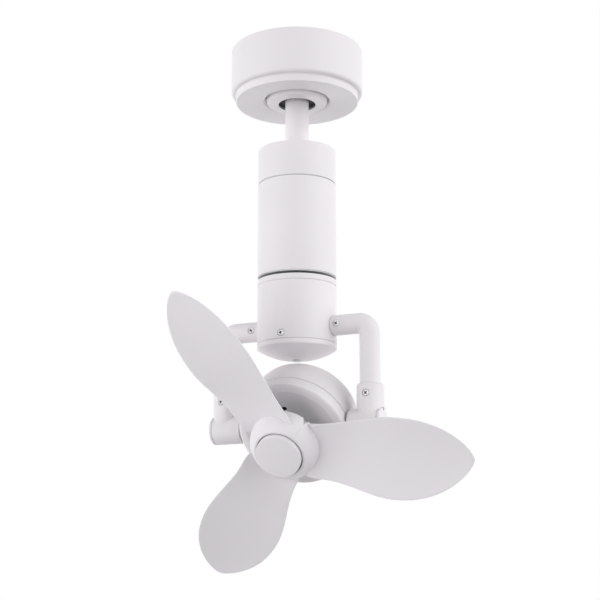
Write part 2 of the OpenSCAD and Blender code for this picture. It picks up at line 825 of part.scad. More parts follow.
// Thin ring under the open gap; its spigot centres the lower housing
module carrier_ring() {
    spigot = 4;
    color(white) difference() {
        union() {
            translate([0, 0, z_seam2]) cylinder(r = housing_r, h = carrier_h);
            translate([0, 0, z_lower]) cylinder(r = housing_r - groove_depth, h = groove_h + eps);
            translate([0, 0, z_lower - spigot]) cylinder(r = shell_in - fit, h = spigot + eps);
        }
        translate([0, 0, z_lower - spigot - 1]) cylinder(r = flange_r + 2, h = spigot + groove_h + 1);
        translate([0, 0, z_lower - 1]) cylinder(r = shoulder_r + fit, h = big);
    }
}

// Cast block under the shaft's flange, with a stub for each arm
module arm_bracket() {
    color(steel) difference() {
        union() {
            translate([0, 0, z_arm]) cylinder(r = stem_r, h = z_flange_low - z_arm);
            translate([-block_x, -block_w / 2, z_arm - block_w / 2]) cube([2 * block_x, block_w, block_w]);
            translate([0, 0, z_arm]) x_rod(stub_r, -stub_end, stub_end);
        }
        translate([0, 0, z_arm]) x_rod(stub_bore, -big, big);
        translate([0, 0, z_arm]) cylinder(r = stub_bore, h = big);
        for (s = [-1, 1])
            translate([s * arm_screw_x, 0, z_arm]) front_rod(screw_r + fit, 0, arm_d);
    }
}

module lower_housing() {
    color(white) difference() {
        ring(housing_r, shell_in, z_lower_end, z_lower);
        translate([0, 0, z_arm]) x_rod(stub_r + 0.15, -big, big);
        for (a = cap_screw_angles)
            rotate([0, 0, a + 90]) translate([0, 0, cap_screw_z])
                front_screw_room(housing_r - seat_depth, 8);
    }
}

module bottom_cap() {
    dome_sphere = (housing_r * housing_r + dome_h * dome_h) / (2 * dome_h);
    skirt_wall = 2.4;
    color(white) difference() {
        union() {
            intersection() {
                translate([0, 0, z_dome - dome_h]) cylinder(r = housing_r, h = dome_h + rim_h);
                translate([0, 0, z_dome - dome_h + dome_sphere]) sphere(r = dome_sphere);
            }
            translate([0, 0, z_dome]) cylinder(r = housing_r - groove_depth, h = rim_h + groove_h / 2);
            ring(shell_in - fit, shell_in - skirt_wall, z_dome, z_lower_end + skirt_h);
        }
        // hollow inside, with a wall that follows the dome and a boss for the plug
        difference() {
            union() {
                intersection() {
                    translate([0, 0, z_dome - dome_h]) cylinder(r = shell_in - skirt_wall, h = dome_h + 1);
                    translate([0, 0, z_dome - dome_h + dome_sphere]) sphere(r = dome_sphere - skirt_wall);
                }
                translate([0, 0, z_dome]) cylinder(r = shell_in - skirt_wall, h = big);
            }
            translate([0, 0, z_dome - dome_h]) cylinder(d = button_d + 5, h = button_plug);
        }
        translate([0, 0, z_dome - big / 2]) cylinder(d = button_d + 2 * fit, h = big);
        translate([0, 0, z_arm]) x_rod(stub_r + 1, -big, big);
        for (a = cap_screw_angles)
            rotate([0, 0, a + 90]) translate([0, 0, cap_screw_z]) front_rod(screw_r + fit, 0, big);
    }
}
button_plug = 4;                                   // solid depth behind the dome's lowest point

module cap_button() {
    color(white) translate([0, 0, z_dome - dome_h - plug_proud]) {
        translate([0, 0, 1]) cylinder(d = button_d, h = button_plug + plug_proud - 1);
        cylinder(d1 = button_d - 2, d2 = button_d, h = 1);
    }
}

module cap_screws() {
    color(steel)
        for (a = cap_screw_angles)
            rotate([0, 0, a + 90]) translate([0, 0, cap_screw_z])
                front_screw(housing_r - seat_depth, 4.5);
}

// One arm for the +X side: stub end, elbow and upright, each a length of tube
module arm() {
    difference() {
        union() {
            difference() {
                translate([0, 0, z_arm]) x_rod(arm_r, block_x, arm_reach - elbow_r);
                translate([0, 0, z_arm]) x_rod(arm_bore, block_x - 1, arm_reach - elbow_r + 1);
            }
            translate([arm_reach - elbow_r, 0, z_arm - elbow_r]) rotate([90, 0, 0])
                rotate_extrude(angle = 90) translate([elbow_r, 0]) difference() {
                    circle(r = arm_r);
                    circle(r = arm_bore);
                }
            difference() {
                translate([arm_reach, 0, z_tilt + tube_seat])
                    cylinder(r = arm_r, h = z_arm - elbow_r - z_tilt - tube_seat);
                translate([arm_reach, 0, z_tilt]) cylinder(r = arm_bore, h = big);
            }
        }
        translate([0, 0, z_arm - big / 2]) cylinder(r = housing_r + saddle, h = big);
        translate([arm_screw_x, 0, z_arm]) front_screw_room(arm_r - seat_depth, 6);
        translate([arm_reach, 0, tee_screw_z]) front_rod(screw_r + fit, 0, arm_d);
    }
}

module arm_right() {
    color(white) arm();
}

module arm_left() {
    color(white) mirror([1, 0, 0]) arm();
}

module yoke_screws() {
    color(steel)
        for (s = [-1, 1]) {
            translate([s * arm_screw_x, 0, z_arm]) front_screw(arm_r - seat_depth, 5);
            translate([s * arm_reach, 0, tee_screw_z]) front_screw(collar_r - seat_depth, 3.8);
        }
}

// T fitting for the +X side: upright collar and pivot boss in one casting
module tee() {
    difference() {
        union() {
            translate([arm_reach, 0, z_tilt]) {
                cylinder(r = collar_r, h = collar_h - collar_chamfer);
                translate([0, 0, collar_h - collar_chamfer])
                    cylinder(r1 = collar_r, r2 = arm_r + 0.8, h = collar_chamfer);
            }
            translate([0, 0, z_tilt]) x_rod(boss_r, boss_in, boss_out);
        }
        translate([arm_reach, 0, z_tilt + tube_seat]) cylinder(r = arm_r + fit, h = big);
        translate([arm_reach, 0, z_tilt]) cylinder(r = wire_hole_r, h = tube_seat + 1);
        translate([0, 0, z_tilt]) x_rod(journal_r + fit, boss_in - 1, chamber_x + 1);
        translate([0, 0, z_tilt]) x_rod(chamber_r, chamber_x, boss_out + 1);
        // the cap is let into the collar's foot
        translate([0, 0, z_tilt]) x_rod(boss_r + 0.15, boss_out, big);
        translate([arm_reach, 0, tee_screw_z]) front_screw_room(collar_r - seat_depth, 5);
    }
}

module tee_right() {
    color(white) tee();
}

module tee_left() {
    color(white) mirror([1, 0, 0]) tee();
}

// Rounded end caps of the bosses, each with a small pry notch at its top
module pivot_caps() {
    edge = 2.5;
    notch = [6, 3.2, 3];
    color(white)
        for (s = [0, 1])
            mirror([s, 0, 0]) translate([boss_out, 0, z_tilt]) difference() {
                union() {
                    x_rod(chamber_r - fit, -cap_plug, eps);
                    x_rod(boss_r, 0, boss_cap_t - edge);
                    rotate([0, 90, 0]) translate([0, 0, boss_cap_t - edge]) rotate_extrude()
                        intersection() {
                            union() {
                                translate([boss_r - edge, 0]) circle(r = edge);
                                square([boss_r - edge, edge]);
                            }
                            square([boss_r, edge]);
                        }
                }
                translate([boss_cap_t - notch[0], -notch[1] / 2, boss_r - notch[2]]) cube([boss_r, notch[1], boss_r]);
            }
}

// Lead from the slip ring, down the shaft, out through the right arm and down to the boss
module motor_lead() {
    turn = 3.5;
    z_slip_foot = z_shaft_top - 6;
    color(dark) {
        translate([0, 0, z_arm + turn]) cylinder(r = motor_lead_r, h = z_slip_foot - z_arm - turn);
        translate([turn, 0, z_arm + turn]) rotate([90, 0, 0])
            rotate([0, 0, 180]) rotate_extrude(angle = 90) translate([turn, 0]) circle(r = motor_lead_r);
        translate([0, 0, z_arm]) x_rod(motor_lead_r, turn, arm_reach - elbow_r);
        translate([arm_reach - elbow_r, 0, z_arm - elbow_r]) rotate([90, 0, 0])
            rotate_extrude(angle = 90) translate([elbow_r, 0]) circle(r = motor_lead_r);
        translate([arm_reach, 0, z_tilt + chamber_r - 2.5])
            cylinder(r = motor_lead_r, h = z_arm - elbow_r - z_tilt - chamber_r + 2.5);
    }
}

// ---------- motor head (tilts about X) ----------

// Ring that holds the stator and takes the pivot studs
module motor_frame() {
    color(steel) head() difference() {
        ring(case_in - fit, frame_in, frame_back, frame_front);
        x_rod(stud_bolt_r, -big, big);
    }
}

// Outline of the rear shell, from the seam back round the shoulder to the middle
function rear_outline(r, back, shoulder, seam) = concat(
    [[0, seam], [r, seam]],
    [for (a = [0 : 10 : 60]) [r - shoulder + shoulder * cos(a), -back + rise(shoulder) - shoulder * sin(a)]],
    [for (k = [1 : 4]) [(r - shoulder / 2) * (1 - k / 4), -back + bulge * pow(1 - k / 4, 2)]]);

// Height of the shoulder's start above the back
function rise(shoulder) = shoulder * sin(60) + bulge;

module motor_rear() {
    color(white) head() difference() {
        union() {
            difference() {
                rotate_extrude() polygon(rear_outline(case_r, case_back, case_shoulder, case_seam));
                rotate_extrude()
                    polygon(rear_outline(case_in, case_back - case_wall, case_shoulder - case_wall, case_seam + 1));
            }
            ring(roller_r + roller_wall, roller_r, -case_back + 0.5, rear_bearing_z + roller_w);
        }
        x_rod(journal_r + 0.3, -big, big);
    }
}

module motor_front() {
    edge = 4;
    slope = 9;                                     // width of the sloping wall of the recess
    front_in = case_r - case_rim;
    outline = concat(
        [[case_r, case_seam]],
        [for (a = [0 : 15 : 90]) [case_r - edge + edge * cos(a), case_front - edge + edge * sin(a)]],
        [[front_in, case_front], [front_in - slope, face_z], [roller_r + roller_wall + 3, face_z],
            [roller_r + roller_wall, face_z + 2], [spindle_r + 1.5, face_z + 2],
            [spindle_r + 1.5, face_z - face_t + 2], [roller_r, face_z - face_t + 2],
            [roller_r, front_bearing_z], [roller_r + roller_wall, front_bearing_z],
            [roller_r + roller_wall, face_z - face_t], [front_in - slope, face_z - face_t],
            [case_in - 1, case_front - edge - 1], [case_in, case_front - edge - 2], [case_in, case_seam]]);
    color(white) head() difference() {
        rotate_extrude() polygon(outline);
        x_rod(journal_r + 0.3, -big, big);
        for (i = [0 : vents - 1])
            rotate([0, 0, vent_turn + 90 + 360 / vents * i]) translate([0, -vent_ring, face_z - face_t - 1])
                slot(vent_len, vent_w, face_t + 2);
    }
}

module stator() {
    color([0.5, 0.5, 0.52]) head() {
        difference() {
            union() {
                ring(frame_in, yoke_in, stack_back, stack_front);
                for (i = [0 : teeth - 1])
                    rotate([0, 0, i * 360 / teeth])
                        translate([tooth_in - 1, -tooth_w / 2, stack_back])
                            cube([yoke_in - tooth_in + 2, tooth_w, stack_front - stack_back]);
            }
            translate([0, 0, stack_back - 1]) cylinder(r = tooth_in, h = stack_front - stack_back + 2);
        }
    }
}

module windings() {
    coil_in = tooth_in + 1.5;
    coil_len = yoke_in - coil_in - 1;
    height = stack_front - stack_back;
    color([0.72, 0.4, 0.2]) head()
        for (i = [0 : teeth - 1])
            rotate([0, 0, i * 360 / teeth]) difference() {
                translate([coil_in, -tooth_w / 2 - coil_t, stack_back - coil_t])
                    cube([coil_len, tooth_w + 2 * coil_t, height + 2 * coil_t]);
                translate([coil_in - 1, -tooth_w / 2, stack_back]) cube([coil_len + 2, tooth_w, height]);
            }
}

// Trunnions: screwed into the motor frame, running in the bosses of the T fittings
module pivot_studs() {
    flange_x = boss_in - stud_gap;
    color(steel) head()
        for (s = [0, 1]) mirror([s, 0, 0]) {
            difference() {
                union() {
                    x_rod(stud_bolt_r - eps, frame_in + 1, case_in + eps);
                    x_rod(journal_r, case_in, washer_x);
                    x_rod(stud_flange_r, case_r, flange_x);
                    x_rod(stud_bolt_r, chamber_x, stud_end);
                }
                x_rod(stud_bore, 0, big);
            }
        }
}

module friction_washers() {
    color(dark) head()
        for (s = [0, 1]) mirror([s, 0, 0]) difference() {
            x_rod(chamber_r - 1.5, washer_x, washer_x + washer_t);
            x_rod(stud_bolt_r + fit, washer_x - 1, washer_x + washer_t + 1);
        }
}

module pivot_nuts() {
    x0 = washer_x + washer_t;
    nut_t = 5;
    color(steel) head()
        for (s = [0, 1]) mirror([s, 0, 0]) difference() {
            translate([x0, 0, 0]) rotate([0, 90, 0]) cylinder(r = nut_share * stud_bolt_r, h = nut_t, $fn = 6);
            x_rod(stud_bolt_r, x0 - 1, x0 + nut_t + 1);
        }
}

module rotor_bearings() {
    color(steel) head() {
        ring(roller_r, spindle_r + fit, rear_bearing_z, rear_bearing_z + roller_w);
        ring(roller_r, spindle_r + fit, front_bearing_z, front_bearing_z + roller_w);
    }
}

// ---------- spinning part (turns about the head's axis) ----------

module rotor() {
    magnets = 10;
    color(dark) head() difference() {
        ring(core_r, spindle_r, stack_back - 1, stack_front + 1);
        // slots that part the magnets
        for (i = [0 : magnets - 1])
            rotate([0, 0, i * 360 / magnets]) translate([core_r - 2, -0.4, stack_back - 2])
                cube([4, 0.8, stack_front - stack_back + 4]);
    }
}

module motor_shaft() {
    color(steel) head()
        translate([0, 0, rear_bearing_z]) cylinder(r = spindle_r, h = flange_front + 10 - rear_bearing_z);
}

module hub_plate() {
    color(steel) head() difference() {
        union() {
            translate([0, 0, plate_z]) cylinder(r = plate_r, h = plate_thick);
            translate([0, 0, hub_boss_z]) cylinder(r = hub_boss_r, h = plate_z - hub_boss_z + eps);
        }
        translate([0, 0, hub_boss_z - 1]) cylinder(r = spindle_r, h = big);
        blade_screw_places() cylinder(r = screw_r + fit, h = plate_thick + 1);
    }
}

// Two screws for each blade, on a circle; children stand on the hub plate's back
module blade_screw_places() {
    for (k = [0 : blades - 1]) for (s = [-30, 30])
        rotate([0, 0, blade_turn + k * 360 / blades + s])
            translate([screw_ring, 0, plate_z - eps]) children();
}

function smooth(x) = let (c = min(1, max(0, x))) c * c * (3 - 2 * c);

// Chord at a distance u from the shaft: widens from the root, then closes in a leaf's tip
function chord(u) = u < root_end_u
    ? chord_root - root_taper * pow((root_end_u - u) / (root_end_u - root_u), 2)
    : u < widest_r
    ? chord_root + (chord_max - chord_root) * smooth((u - root_end_u) / (widest_r - root_end_u))
    : chord_max * pow(max(0, 1 - pow((u - widest_r) / (blade_tip_r - widest_r), 2.2)), 0.7);

// Where the blade's middle lies along the head's axis
function middle_z(u) = u < widest_r
    ? blade_root_z + (blade_mid_z - blade_root_z) * smooth((u - rise_u) / (widest_r - rise_u))
    : blade_mid_z - (blade_mid_z - blade_tip_z) * pow((u - widest_r) / (blade_tip_r - widest_r), 2);

// Stations along the blade: closer together towards the tip
function station(i) = root_u + (blade_tip_r - 0.4 - root_u) * (1 - pow(1 - i / span_steps, 1.35));

// A point of the skin: v runs from -1 at the trailing edge to 1 at the leading edge
function skin_point(u, v, side) =
    let (c = chord(u),
        t = side * (edge_t + (blade_t - edge_t) * (1 - v * v)) / 2 * min(1, c / 12),
        x = v * c / 2,
        y = -camber * c * (1 - v * v) + t)
    [u, blade_sweep + x * cos(pitch) + y * sin(pitch), middle_z(u) - x * sin(pitch) + y * cos(pitch)];

module blade_skin() {
    per = 2 * (chord_steps + 1);
    points = [for (i = [0 : span_steps]) for (j = [0 : per - 1])
        let (front = j <= chord_steps, k = front ? j : per - 1 - j)
        skin_point(station(i), -1 + 2 * k / chord_steps, front ? 1 : -1)];
    sides = [for (i = [0 : span_steps - 1]) for (j = [0 : per - 1])
        let (a = i * per + j, b = i * per + (j + 1) % per)
        each [[a, b, b + per], [a, b + per, a + per]]];
    caps = [for (j = [0 : chord_steps - 1])
        let (a = j, b = j + 1, c = per - 2 - j, d = per - 1 - j, top = span_steps * per)
        each [[a, c, b], [a, d, c], [top + a, top + b, top + c], [top + a, top + c, top + d]]];
    polyhedron(points, concat(sides, caps));
}

// One blade with its own third of the hub's cone
module blade(k) {
    sector = 360 / blades;
    color(white) head() rotate([0, 0, blade_turn + k * sector]) difference() {
        union() {
            difference() {
                rotate_extrude() polygon([
                    [root_in_r, hub_back_z], [hub_back_r - 0.6, hub_back_z], [hub_back_r, hub_back_z + 0.8],
                    [hub_front_r + 0.7, hub_front_z - 1], [hub_front_r - 0.2, hub_front_z],
                    [cone_in, hub_front_z], [cone_in, hub_front_z - 4],
                    [hub_back_r - 1.4 * hub_wall, flange_front], [root_in_r, flange_front]]);
                // keep this blade's sector only
                for (s = [-1, 1]) rotate([0, 0, s * sector / 2 - seam_shift]) {
                    translate([-big, s > 0 ? -sector_gap : -big + sector_gap, 0]) cube([2 * big, big, big]);
                    translate([hub_back_r, 0, hub_back_z]) rotate([0, -90, 0])
                        linear_extrude(notch_deep, center = true)
                            polygon([[-1, -notch_w / 2 - 0.5], [-1, notch_w / 2 + 0.5], [notch_h, 0]]);
                }
            }
            difference() {
                blade_skin();
                // its root corner ends at the seam on the leading side
                rotate([0, 0, sector / 2 - seam_shift]) translate([-big, -sector_gap, 0]) cube([2 * big, big, big]);
            }
        }
        // room for the centre cap, and the hollow of the cone
        rotate_extrude() polygon([[0, flange_front], [hub_back_r - 1.4 * hub_wall, flange_front],
            [cone_in, hub_front_z - 4], [cone_in, 2 * hub_front_z], [0, 2 * hub_front_z]]);
        for (s = [-30, 30])
            rotate([0, 0, s]) translate([screw_ring, 0, hub_back_z - 1]) cylinder(r = screw_r + fit, h = hub_wall + 2);
    }
}

module blade_1() {
    blade(0);
}

module blade_2() {
    blade(1);
}

module blade_3() {
    blade(2);
}

// Round cap over the hub, standing on the blade roots with its skirt
module centre_cap() {
    top = hub_front_z + spinner_h;
    crown = 1.5;
    dome = (spinner_r * spinner_r + crown * crown) / (2 * crown);
    color(white) head() difference() {
        intersection() {
            rotate_extrude() {
                square([spinner_r, top - spinner_edge]);
                translate([spinner_r - spinner_edge, top - spinner_edge]) circle(r = spinner_edge);
                translate([0, top - spinner_edge - 1]) square([spinner_r - spinner_edge, spinner_edge + 1]);
            }
            translate([0, 0, top - dome]) sphere(r = dome);
            translate([0, 0, flange_front]) cylinder(r = big, h = big);
        }
        translate([0, 0, flange_front - 1])
            cylinder(r = spinner_r - spinner_skirt_t, h = top - flange_front - 3 * spinner_skirt_t + 1);
    }
}

module blade_screws() {
    color(steel) head()
        blade_screw_places() translate([0, 0, flange_front - plate_z + eps])
            pan_screw(hub_wall + plate_thick - 0.5);
}

module shaft_nut() {
    color(steel) head() difference() {
        translate([0, 0, hub_back_z]) cylinder(r = nut_share * spindle_r, h = spindle_nut_h, $fn = 6);
        translate([0, 0, hub_back_z - 1]) cylinder(r = spindle_r, h = spindle_nut_h + 2);
    }
}

hanger_bracket();
terminal_block();
socket_screws();
canopy();
canopy_screws();
canopy_cover();
ball_socket();
hanger_ball();
ball_pin();
down_rod();
rod_coupling();
coupling_pin();
upper_cap();
top_plate();
chassis_plate();
chassis_posts();
receiver();
supply_lead();
housing_sleeve();
bearing_plate();
orbit_bearing();
orbit_motor();
slip_ring();
orbit_pinion();
orbit_shaft();
orbit_nut();
bearing_inner();
orbit_gear();
slip_rotor();
carrier_ring();
arm_bracket();
lower_housing();
bottom_cap();
cap_button();
cap_screws();
arm_left();
arm_right();
yoke_screws();
tee_left();
tee_right();
pivot_caps();
motor_lead();
motor_frame();
motor_rear();
motor_front();
stator();
windings();
pivot_studs();
friction_washers();
pivot_nuts();
rotor_bearings();
rotor();
motor_shaft();
hub_plate();
blade_1();
blade_2();
blade_3();
centre_cap();
blade_screws();
shaft_nut();
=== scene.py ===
# %% [markdown]
# # An orbital ceiling fan, from frame to finish
# The fan hangs on a ball joint under a round canopy. A geared drive in the long housing turns the
# yoke, and the yoke holds a motor head with three leaf-shaped blades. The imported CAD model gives
# the size and the joints. This lesson dresses it: each step says what a piece is on the real fan,
# how it could be made in Blender, and why it is made in this way.

# %% Load the frame
import json
import math
import bpy
from mathutils import Matrix, Vector


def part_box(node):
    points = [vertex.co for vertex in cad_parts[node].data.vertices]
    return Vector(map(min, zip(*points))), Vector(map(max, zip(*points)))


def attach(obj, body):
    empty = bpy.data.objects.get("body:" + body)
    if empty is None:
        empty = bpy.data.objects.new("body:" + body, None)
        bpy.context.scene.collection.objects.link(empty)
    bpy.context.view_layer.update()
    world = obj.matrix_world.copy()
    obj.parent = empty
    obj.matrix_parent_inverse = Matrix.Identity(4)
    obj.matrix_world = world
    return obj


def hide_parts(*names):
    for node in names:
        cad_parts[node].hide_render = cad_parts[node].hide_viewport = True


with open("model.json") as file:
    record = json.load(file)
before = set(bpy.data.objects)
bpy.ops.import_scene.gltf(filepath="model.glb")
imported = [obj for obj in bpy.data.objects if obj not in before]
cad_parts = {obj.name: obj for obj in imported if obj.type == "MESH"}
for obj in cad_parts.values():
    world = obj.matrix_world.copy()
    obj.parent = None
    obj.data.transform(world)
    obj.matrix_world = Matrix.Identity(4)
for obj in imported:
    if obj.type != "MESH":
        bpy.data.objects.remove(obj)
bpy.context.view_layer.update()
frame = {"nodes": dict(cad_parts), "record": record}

nodes = frame["nodes"]
MM = 0.001

# %% [markdown]
# ## The camera
# The photograph was taken from below the fan's middle and from its right, with a long lens. The
# ellipses of the canopy and the housing give the height of the eye, and the yoke's two arms give
# the turn. A small shift puts the rod's axis where the photograph has it.

# %% Camera
VIEW_TURN = math.radians(23.5)  # to the right of the fan's front
VIEW_UP = 12.77  # how far the lens looks up, in degrees
VIEW_DISTANCE, VIEW_DROP = 1.3994, 0.6094  # metres from the rod's axis and below the origin
bpy.ops.object.camera_add(
    location=(VIEW_DISTANCE * math.sin(VIEW_TURN), -VIEW_DISTANCE * math.cos(VIEW_TURN), -VIEW_DROP),
    rotation=(math.radians(90 + VIEW_UP), 0, VIEW_TURN))
camera = bpy.context.object
camera.data.sensor_width = 36
camera.data.lens = 77.89
camera.data.shift_x = 0.005
bpy.context.scene.camera = camera
print("camera at", tuple(round(c, 3) for c in camera.location))

# %% [markdown]
# ## A white studio
# The fan is white on white, so its shape shows only by soft shade. The tones of its turned parts
# tell where the light stood: a large soft light on each side, a weaker one behind that draws the
# edges, and little from below. Lamps could do this. Here the world itself holds the three lights,
# as soft round patches of sky over a dim even base, because that gives their soft shadows at no
# cost in noise.

# %% Studio sky
PATCH_RIM, PATCH_CORE = 0.6, 0.95  # cosines of the angles where a patch starts and is full
BASE_LIGHT = 0.26
SOFT_LIGHTS = ((15, 0, 2.1), (0, -135, 1.95), (-15, 110, 1.4))  # height, turn and strength
world = bpy.context.scene.world or bpy.data.worlds.new("studio")
bpy.context.scene.world = world
world.use_nodes = True
sky = world.node_tree
sky.nodes.clear()
sky_way = sky.nodes.new("ShaderNodeTexCoord")


def soft_light(height, turn, strength):
    """A round patch of light in the sky, at a height and a turn from the X axis in degrees."""
    up, around = math.radians(height), math.radians(turn)
    toward = sky.nodes.new("ShaderNodeVectorMath")
    toward.operation = "DOT_PRODUCT"
    toward.inputs[1].default_value = (math.cos(up) * math.cos(around), math.cos(up) * math.sin(around),
                                      math.sin(up))
    patch = sky.nodes.new("ShaderNodeMapRange")
    patch.interpolation_type = "SMOOTHSTEP"
    patch.inputs["From Min"].default_value = PATCH_RIM
    patch.inputs["From Max"].default_value = PATCH_CORE
    patch.inputs["To Max"].default_value = strength
    sky.links.new(sky_way.outputs["Generated"], toward.inputs[0])
    sky.links.new(toward.outputs["Value"], patch.inputs["Value"])
    return patch.outputs["Result"]


sky_level = None
for height, turn, strength in SOFT_LIGHTS:
    light = soft_light(height, turn, strength)
    total = sky.nodes.new("ShaderNodeMath")
    total.inputs[0].default_value = BASE_LIGHT  # counts in the first sum, where nothing is linked
    if sky_level:
        sky.links.new(sky_level, total.inputs[0])
    sky.links.new(light, total.inputs[1])
    sky_level = total.outputs[0]
print("soft lights in the sky:", len(SOFT_LIGHTS))

# %% [markdown]
# ## The background and the floor
# A brighter world would give the photograph's white background, and it would also wash out the
# fan. Light Path parts the two: the camera and mirror-like rays see plain white, and every other
# ray gets the soft lights. A plain floor lies far below, out of the main view.

# %% What the camera sees of the sky
sky_light = sky.nodes.new("ShaderNodeBackground")
sky_light.inputs["Color"].default_value = (1.0, 0.99, 0.995, 1)
sky.links.new(sky_level, sky_light.inputs["Strength"])
sky_seen = sky.nodes.new("ShaderNodeBackground")
sky_seen.inputs["Color"].default_value = (1, 1, 1, 1)
sky_seen.inputs["Strength"].default_value = 1.0
sky_path = sky.nodes.new("ShaderNodeLightPath")
white_seen = sky_path.outputs["Is Camera Ray"]
for kind in ("Is Glossy Ray", "Is Transmission Ray"):
    either = sky.nodes.new("ShaderNodeMath")
    either.operation = "MAXIMUM"
    sky.links.new(white_seen, either.inputs[0])
    sky.links.new(sky_path.outputs[kind], either.inputs[1])
    white_seen = either.outputs[0]
sky_mix = sky.nodes.new("ShaderNodeMixShader")
sky_out = sky.nodes.new("ShaderNodeOutputWorld")
sky.links.new(white_seen, sky_mix.inputs["Fac"])
sky.links.new(sky_light.outputs[0], sky_mix.inputs[1])
sky.links.new(sky_seen.outputs[0], sky_mix.inputs[2])
sky.links.new(sky_mix.outputs[0], sky_out.inputs["Surface"])
bpy.context.scene.view_settings.view_transform = "Standard"
print("nodes in the sky:", len(sky.nodes))


# %% Clear the selection
def clear_selection():
    """Leaves edit mode and selects nothing, because an operator acts on all that is selected."""
    if bpy.context.object and bpy.context.object.mode != "OBJECT":
        bpy.ops.object.mode_set(mode="OBJECT")
    bpy.ops.object.select_all(action="DESELECT")


# %% Floor
FLOOR_SIZE, FLOOR_HEIGHT = 2.6, -1.5
clear_selection()
bpy.ops.mesh.primitive_plane_add(size=FLOOR_SIZE, location=(0, 0, FLOOR_HEIGHT))
floor = bpy.context.object
floor.name = "studio_floor"
floor_look = bpy.data.materials.new("studio_floor")
floor_look.use_nodes = True
floor_shader = floor_look.node_tree.nodes["Principled BSDF"]
floor_shader.inputs["Base Color"].default_value = (0.74, 0.73, 0.74, 1)
floor_shader.inputs["Roughness"].default_value = 0.8
floor.data.materials.append(floor_look)
print("floor at a height of", FLOOR_HEIGHT)

# %% [markdown]
# ## Effects that several finishes share
# Powder coat, castings and moulded plastic are all white here, and they differ in their skin: how
# fine its grain is, how much the tone drifts, and how much dust has settled on top. Each effect is
# a node group that is built once, and every finish then sets its own values on it.

# %% Group maker
COLOUR, NUMBER = "NodeSocketColor", "NodeSocketFloat"


def new_group(name, inputs, outputs):
    """A node group with named inputs and outputs, and its two end nodes."""
    group = bpy.data.node_groups.new(name, "ShaderNodeTree")
    for label, kind, value in inputs:
        entry = group.interface.new_socket(name=label, in_out="INPUT", socket_type=kind)
        entry.default_value = value
    for label, kind in outputs:
        group.interface.new_socket(name=label, in_out="OUTPUT", socket_type=kind)
    return group, group.nodes.new("NodeGroupInput"), group.nodes.new("NodeGroupOutput")


def colour_mix(tree):
    """A node that mixes colour A with colour B by a factor."""
    mix = tree.nodes.new("ShaderNodeMix")
    mix.data_type = "RGBA"
    return mix


# %% Skin group
skin, skin_in, skin_out = new_group(
    "Skin",
    [("Tone", COLOUR, (0.8, 0.8, 0.8, 1)), ("Drift Tone", COLOUR, (0.75, 0.75, 0.75, 1)),
     ("Drift Scale", NUMBER, 12.0), ("Grain Scale", NUMBER, 900.0),
     ("Roughness Low", NUMBER, 0.35), ("Roughness High", NUMBER, 0.45)],
    [("Color", COLOUR), ("Roughness", NUMBER), ("Height", NUMBER)])
skin_place = skin.nodes.new("ShaderNodeTexCoord")
drift = skin.nodes.new("ShaderNodeTexNoise")
drift.inputs["Detail"].default_value = 3.0
grain = skin.nodes.new("ShaderNodeTexNoise")
grain.inputs["Detail"].default_value = 4.0
grain.inputs["Roughness"].default_value = 0.6
tone_mix = colour_mix(skin)
rough_span = skin.nodes.new("ShaderNodeMapRange")
skin.links.new(skin_place.outputs["Object"], drift.inputs["Vector"])
skin.links.new(skin_place.outputs["Object"], grain.inputs["Vector"])
skin.links.new(skin_in.outputs["Drift Scale"], drift.inputs["Scale"])
skin.links.new(skin_in.outputs["Grain Scale"], grain.inputs["Scale"])
skin.links.new(drift.outputs["Fac"], tone_mix.inputs["Factor"])
skin.links.new(skin_in.outputs["Tone"], tone_mix.inputs["A"])
skin.links.new(skin_in.outputs["Drift Tone"], tone_mix.inputs["B"])
skin.links.new(grain.outputs["Fac"], rough_span.inputs["Value"])
skin.links.new(skin_in.outputs["Roughness Low"], rough_span.inputs["To Min"])
skin.links.new(skin_in.outputs["Roughness High"], rough_span.inputs["To Max"])
skin.links.new(tone_mix.outputs["Result"], skin_out.inputs["Color"])
skin.links.new(rough_span.outputs["Result"], skin_out.inputs["Roughness"])
skin.links.new(grain.outputs["Fac"], skin_out.inputs["Height"])
print("nodes in the skin group:", len(skin.nodes))

# %% Dust group
dust, dust_in, dust_out = new_group(
    "Dust",
    [("Color", COLOUR, (0.8, 0.8, 0.8, 1)), ("Dust Tone", COLOUR, (0.55, 0.53, 0.5, 1)),
     ("Amount", NUMBER, 0.12)],
    [("Color", COLOUR)])
lie = dust.nodes.new("ShaderNodeNewGeometry")
split = dust.nodes.new("ShaderNodeSeparateXYZ")
upward = dust.nodes.new("ShaderNodeMapRange")
upward.inputs["From Min"].default_value = 0.55
upward.inputs["From Max"].default_value = 1.0
dust_place = dust.nodes.new("ShaderNodeTexCoord")
patches = dust.nodes.new("ShaderNodeTexNoise")
patches.inputs["Scale"].default_value = 60.0
patches.inputs["Detail"].default_value = 5.0
settled = dust.nodes.new("ShaderNodeMath")
settled.operation = "MULTIPLY"
share_of_dust = dust.nodes.new("ShaderNodeMath")
share_of_dust.operation = "MULTIPLY"
dust_mix = colour_mix(dust)
dust.links.new(lie.outputs["Normal"], split.inputs[0])
dust.links.new(split.outputs["Z"], upward.inputs["Value"])
dust.links.new(dust_place.outputs["Object"], patches.inputs["Vector"])
dust.links.new(upward.outputs["Result"], settled.inputs[0])
dust.links.new(patches.outputs["Fac"], settled.inputs[1])
dust.links.new(settled.outputs[0], share_of_dust.inputs[0])
dust.links.new(dust_in.outputs["Amount"], share_of_dust.inputs[1])
dust.links.new(share_of_dust.outputs[0], dust_mix.inputs["Factor"])
dust.links.new(dust_in.outputs["Color"], dust_mix.inputs["A"])
dust.links.new(dust_in.outputs["Dust Tone"], dust_mix.inputs["B"])
dust.links.new(dust_mix.outputs["Result"], dust_out.inputs["Color"])
print("groups:", [g.name for g in bpy.data.node_groups])

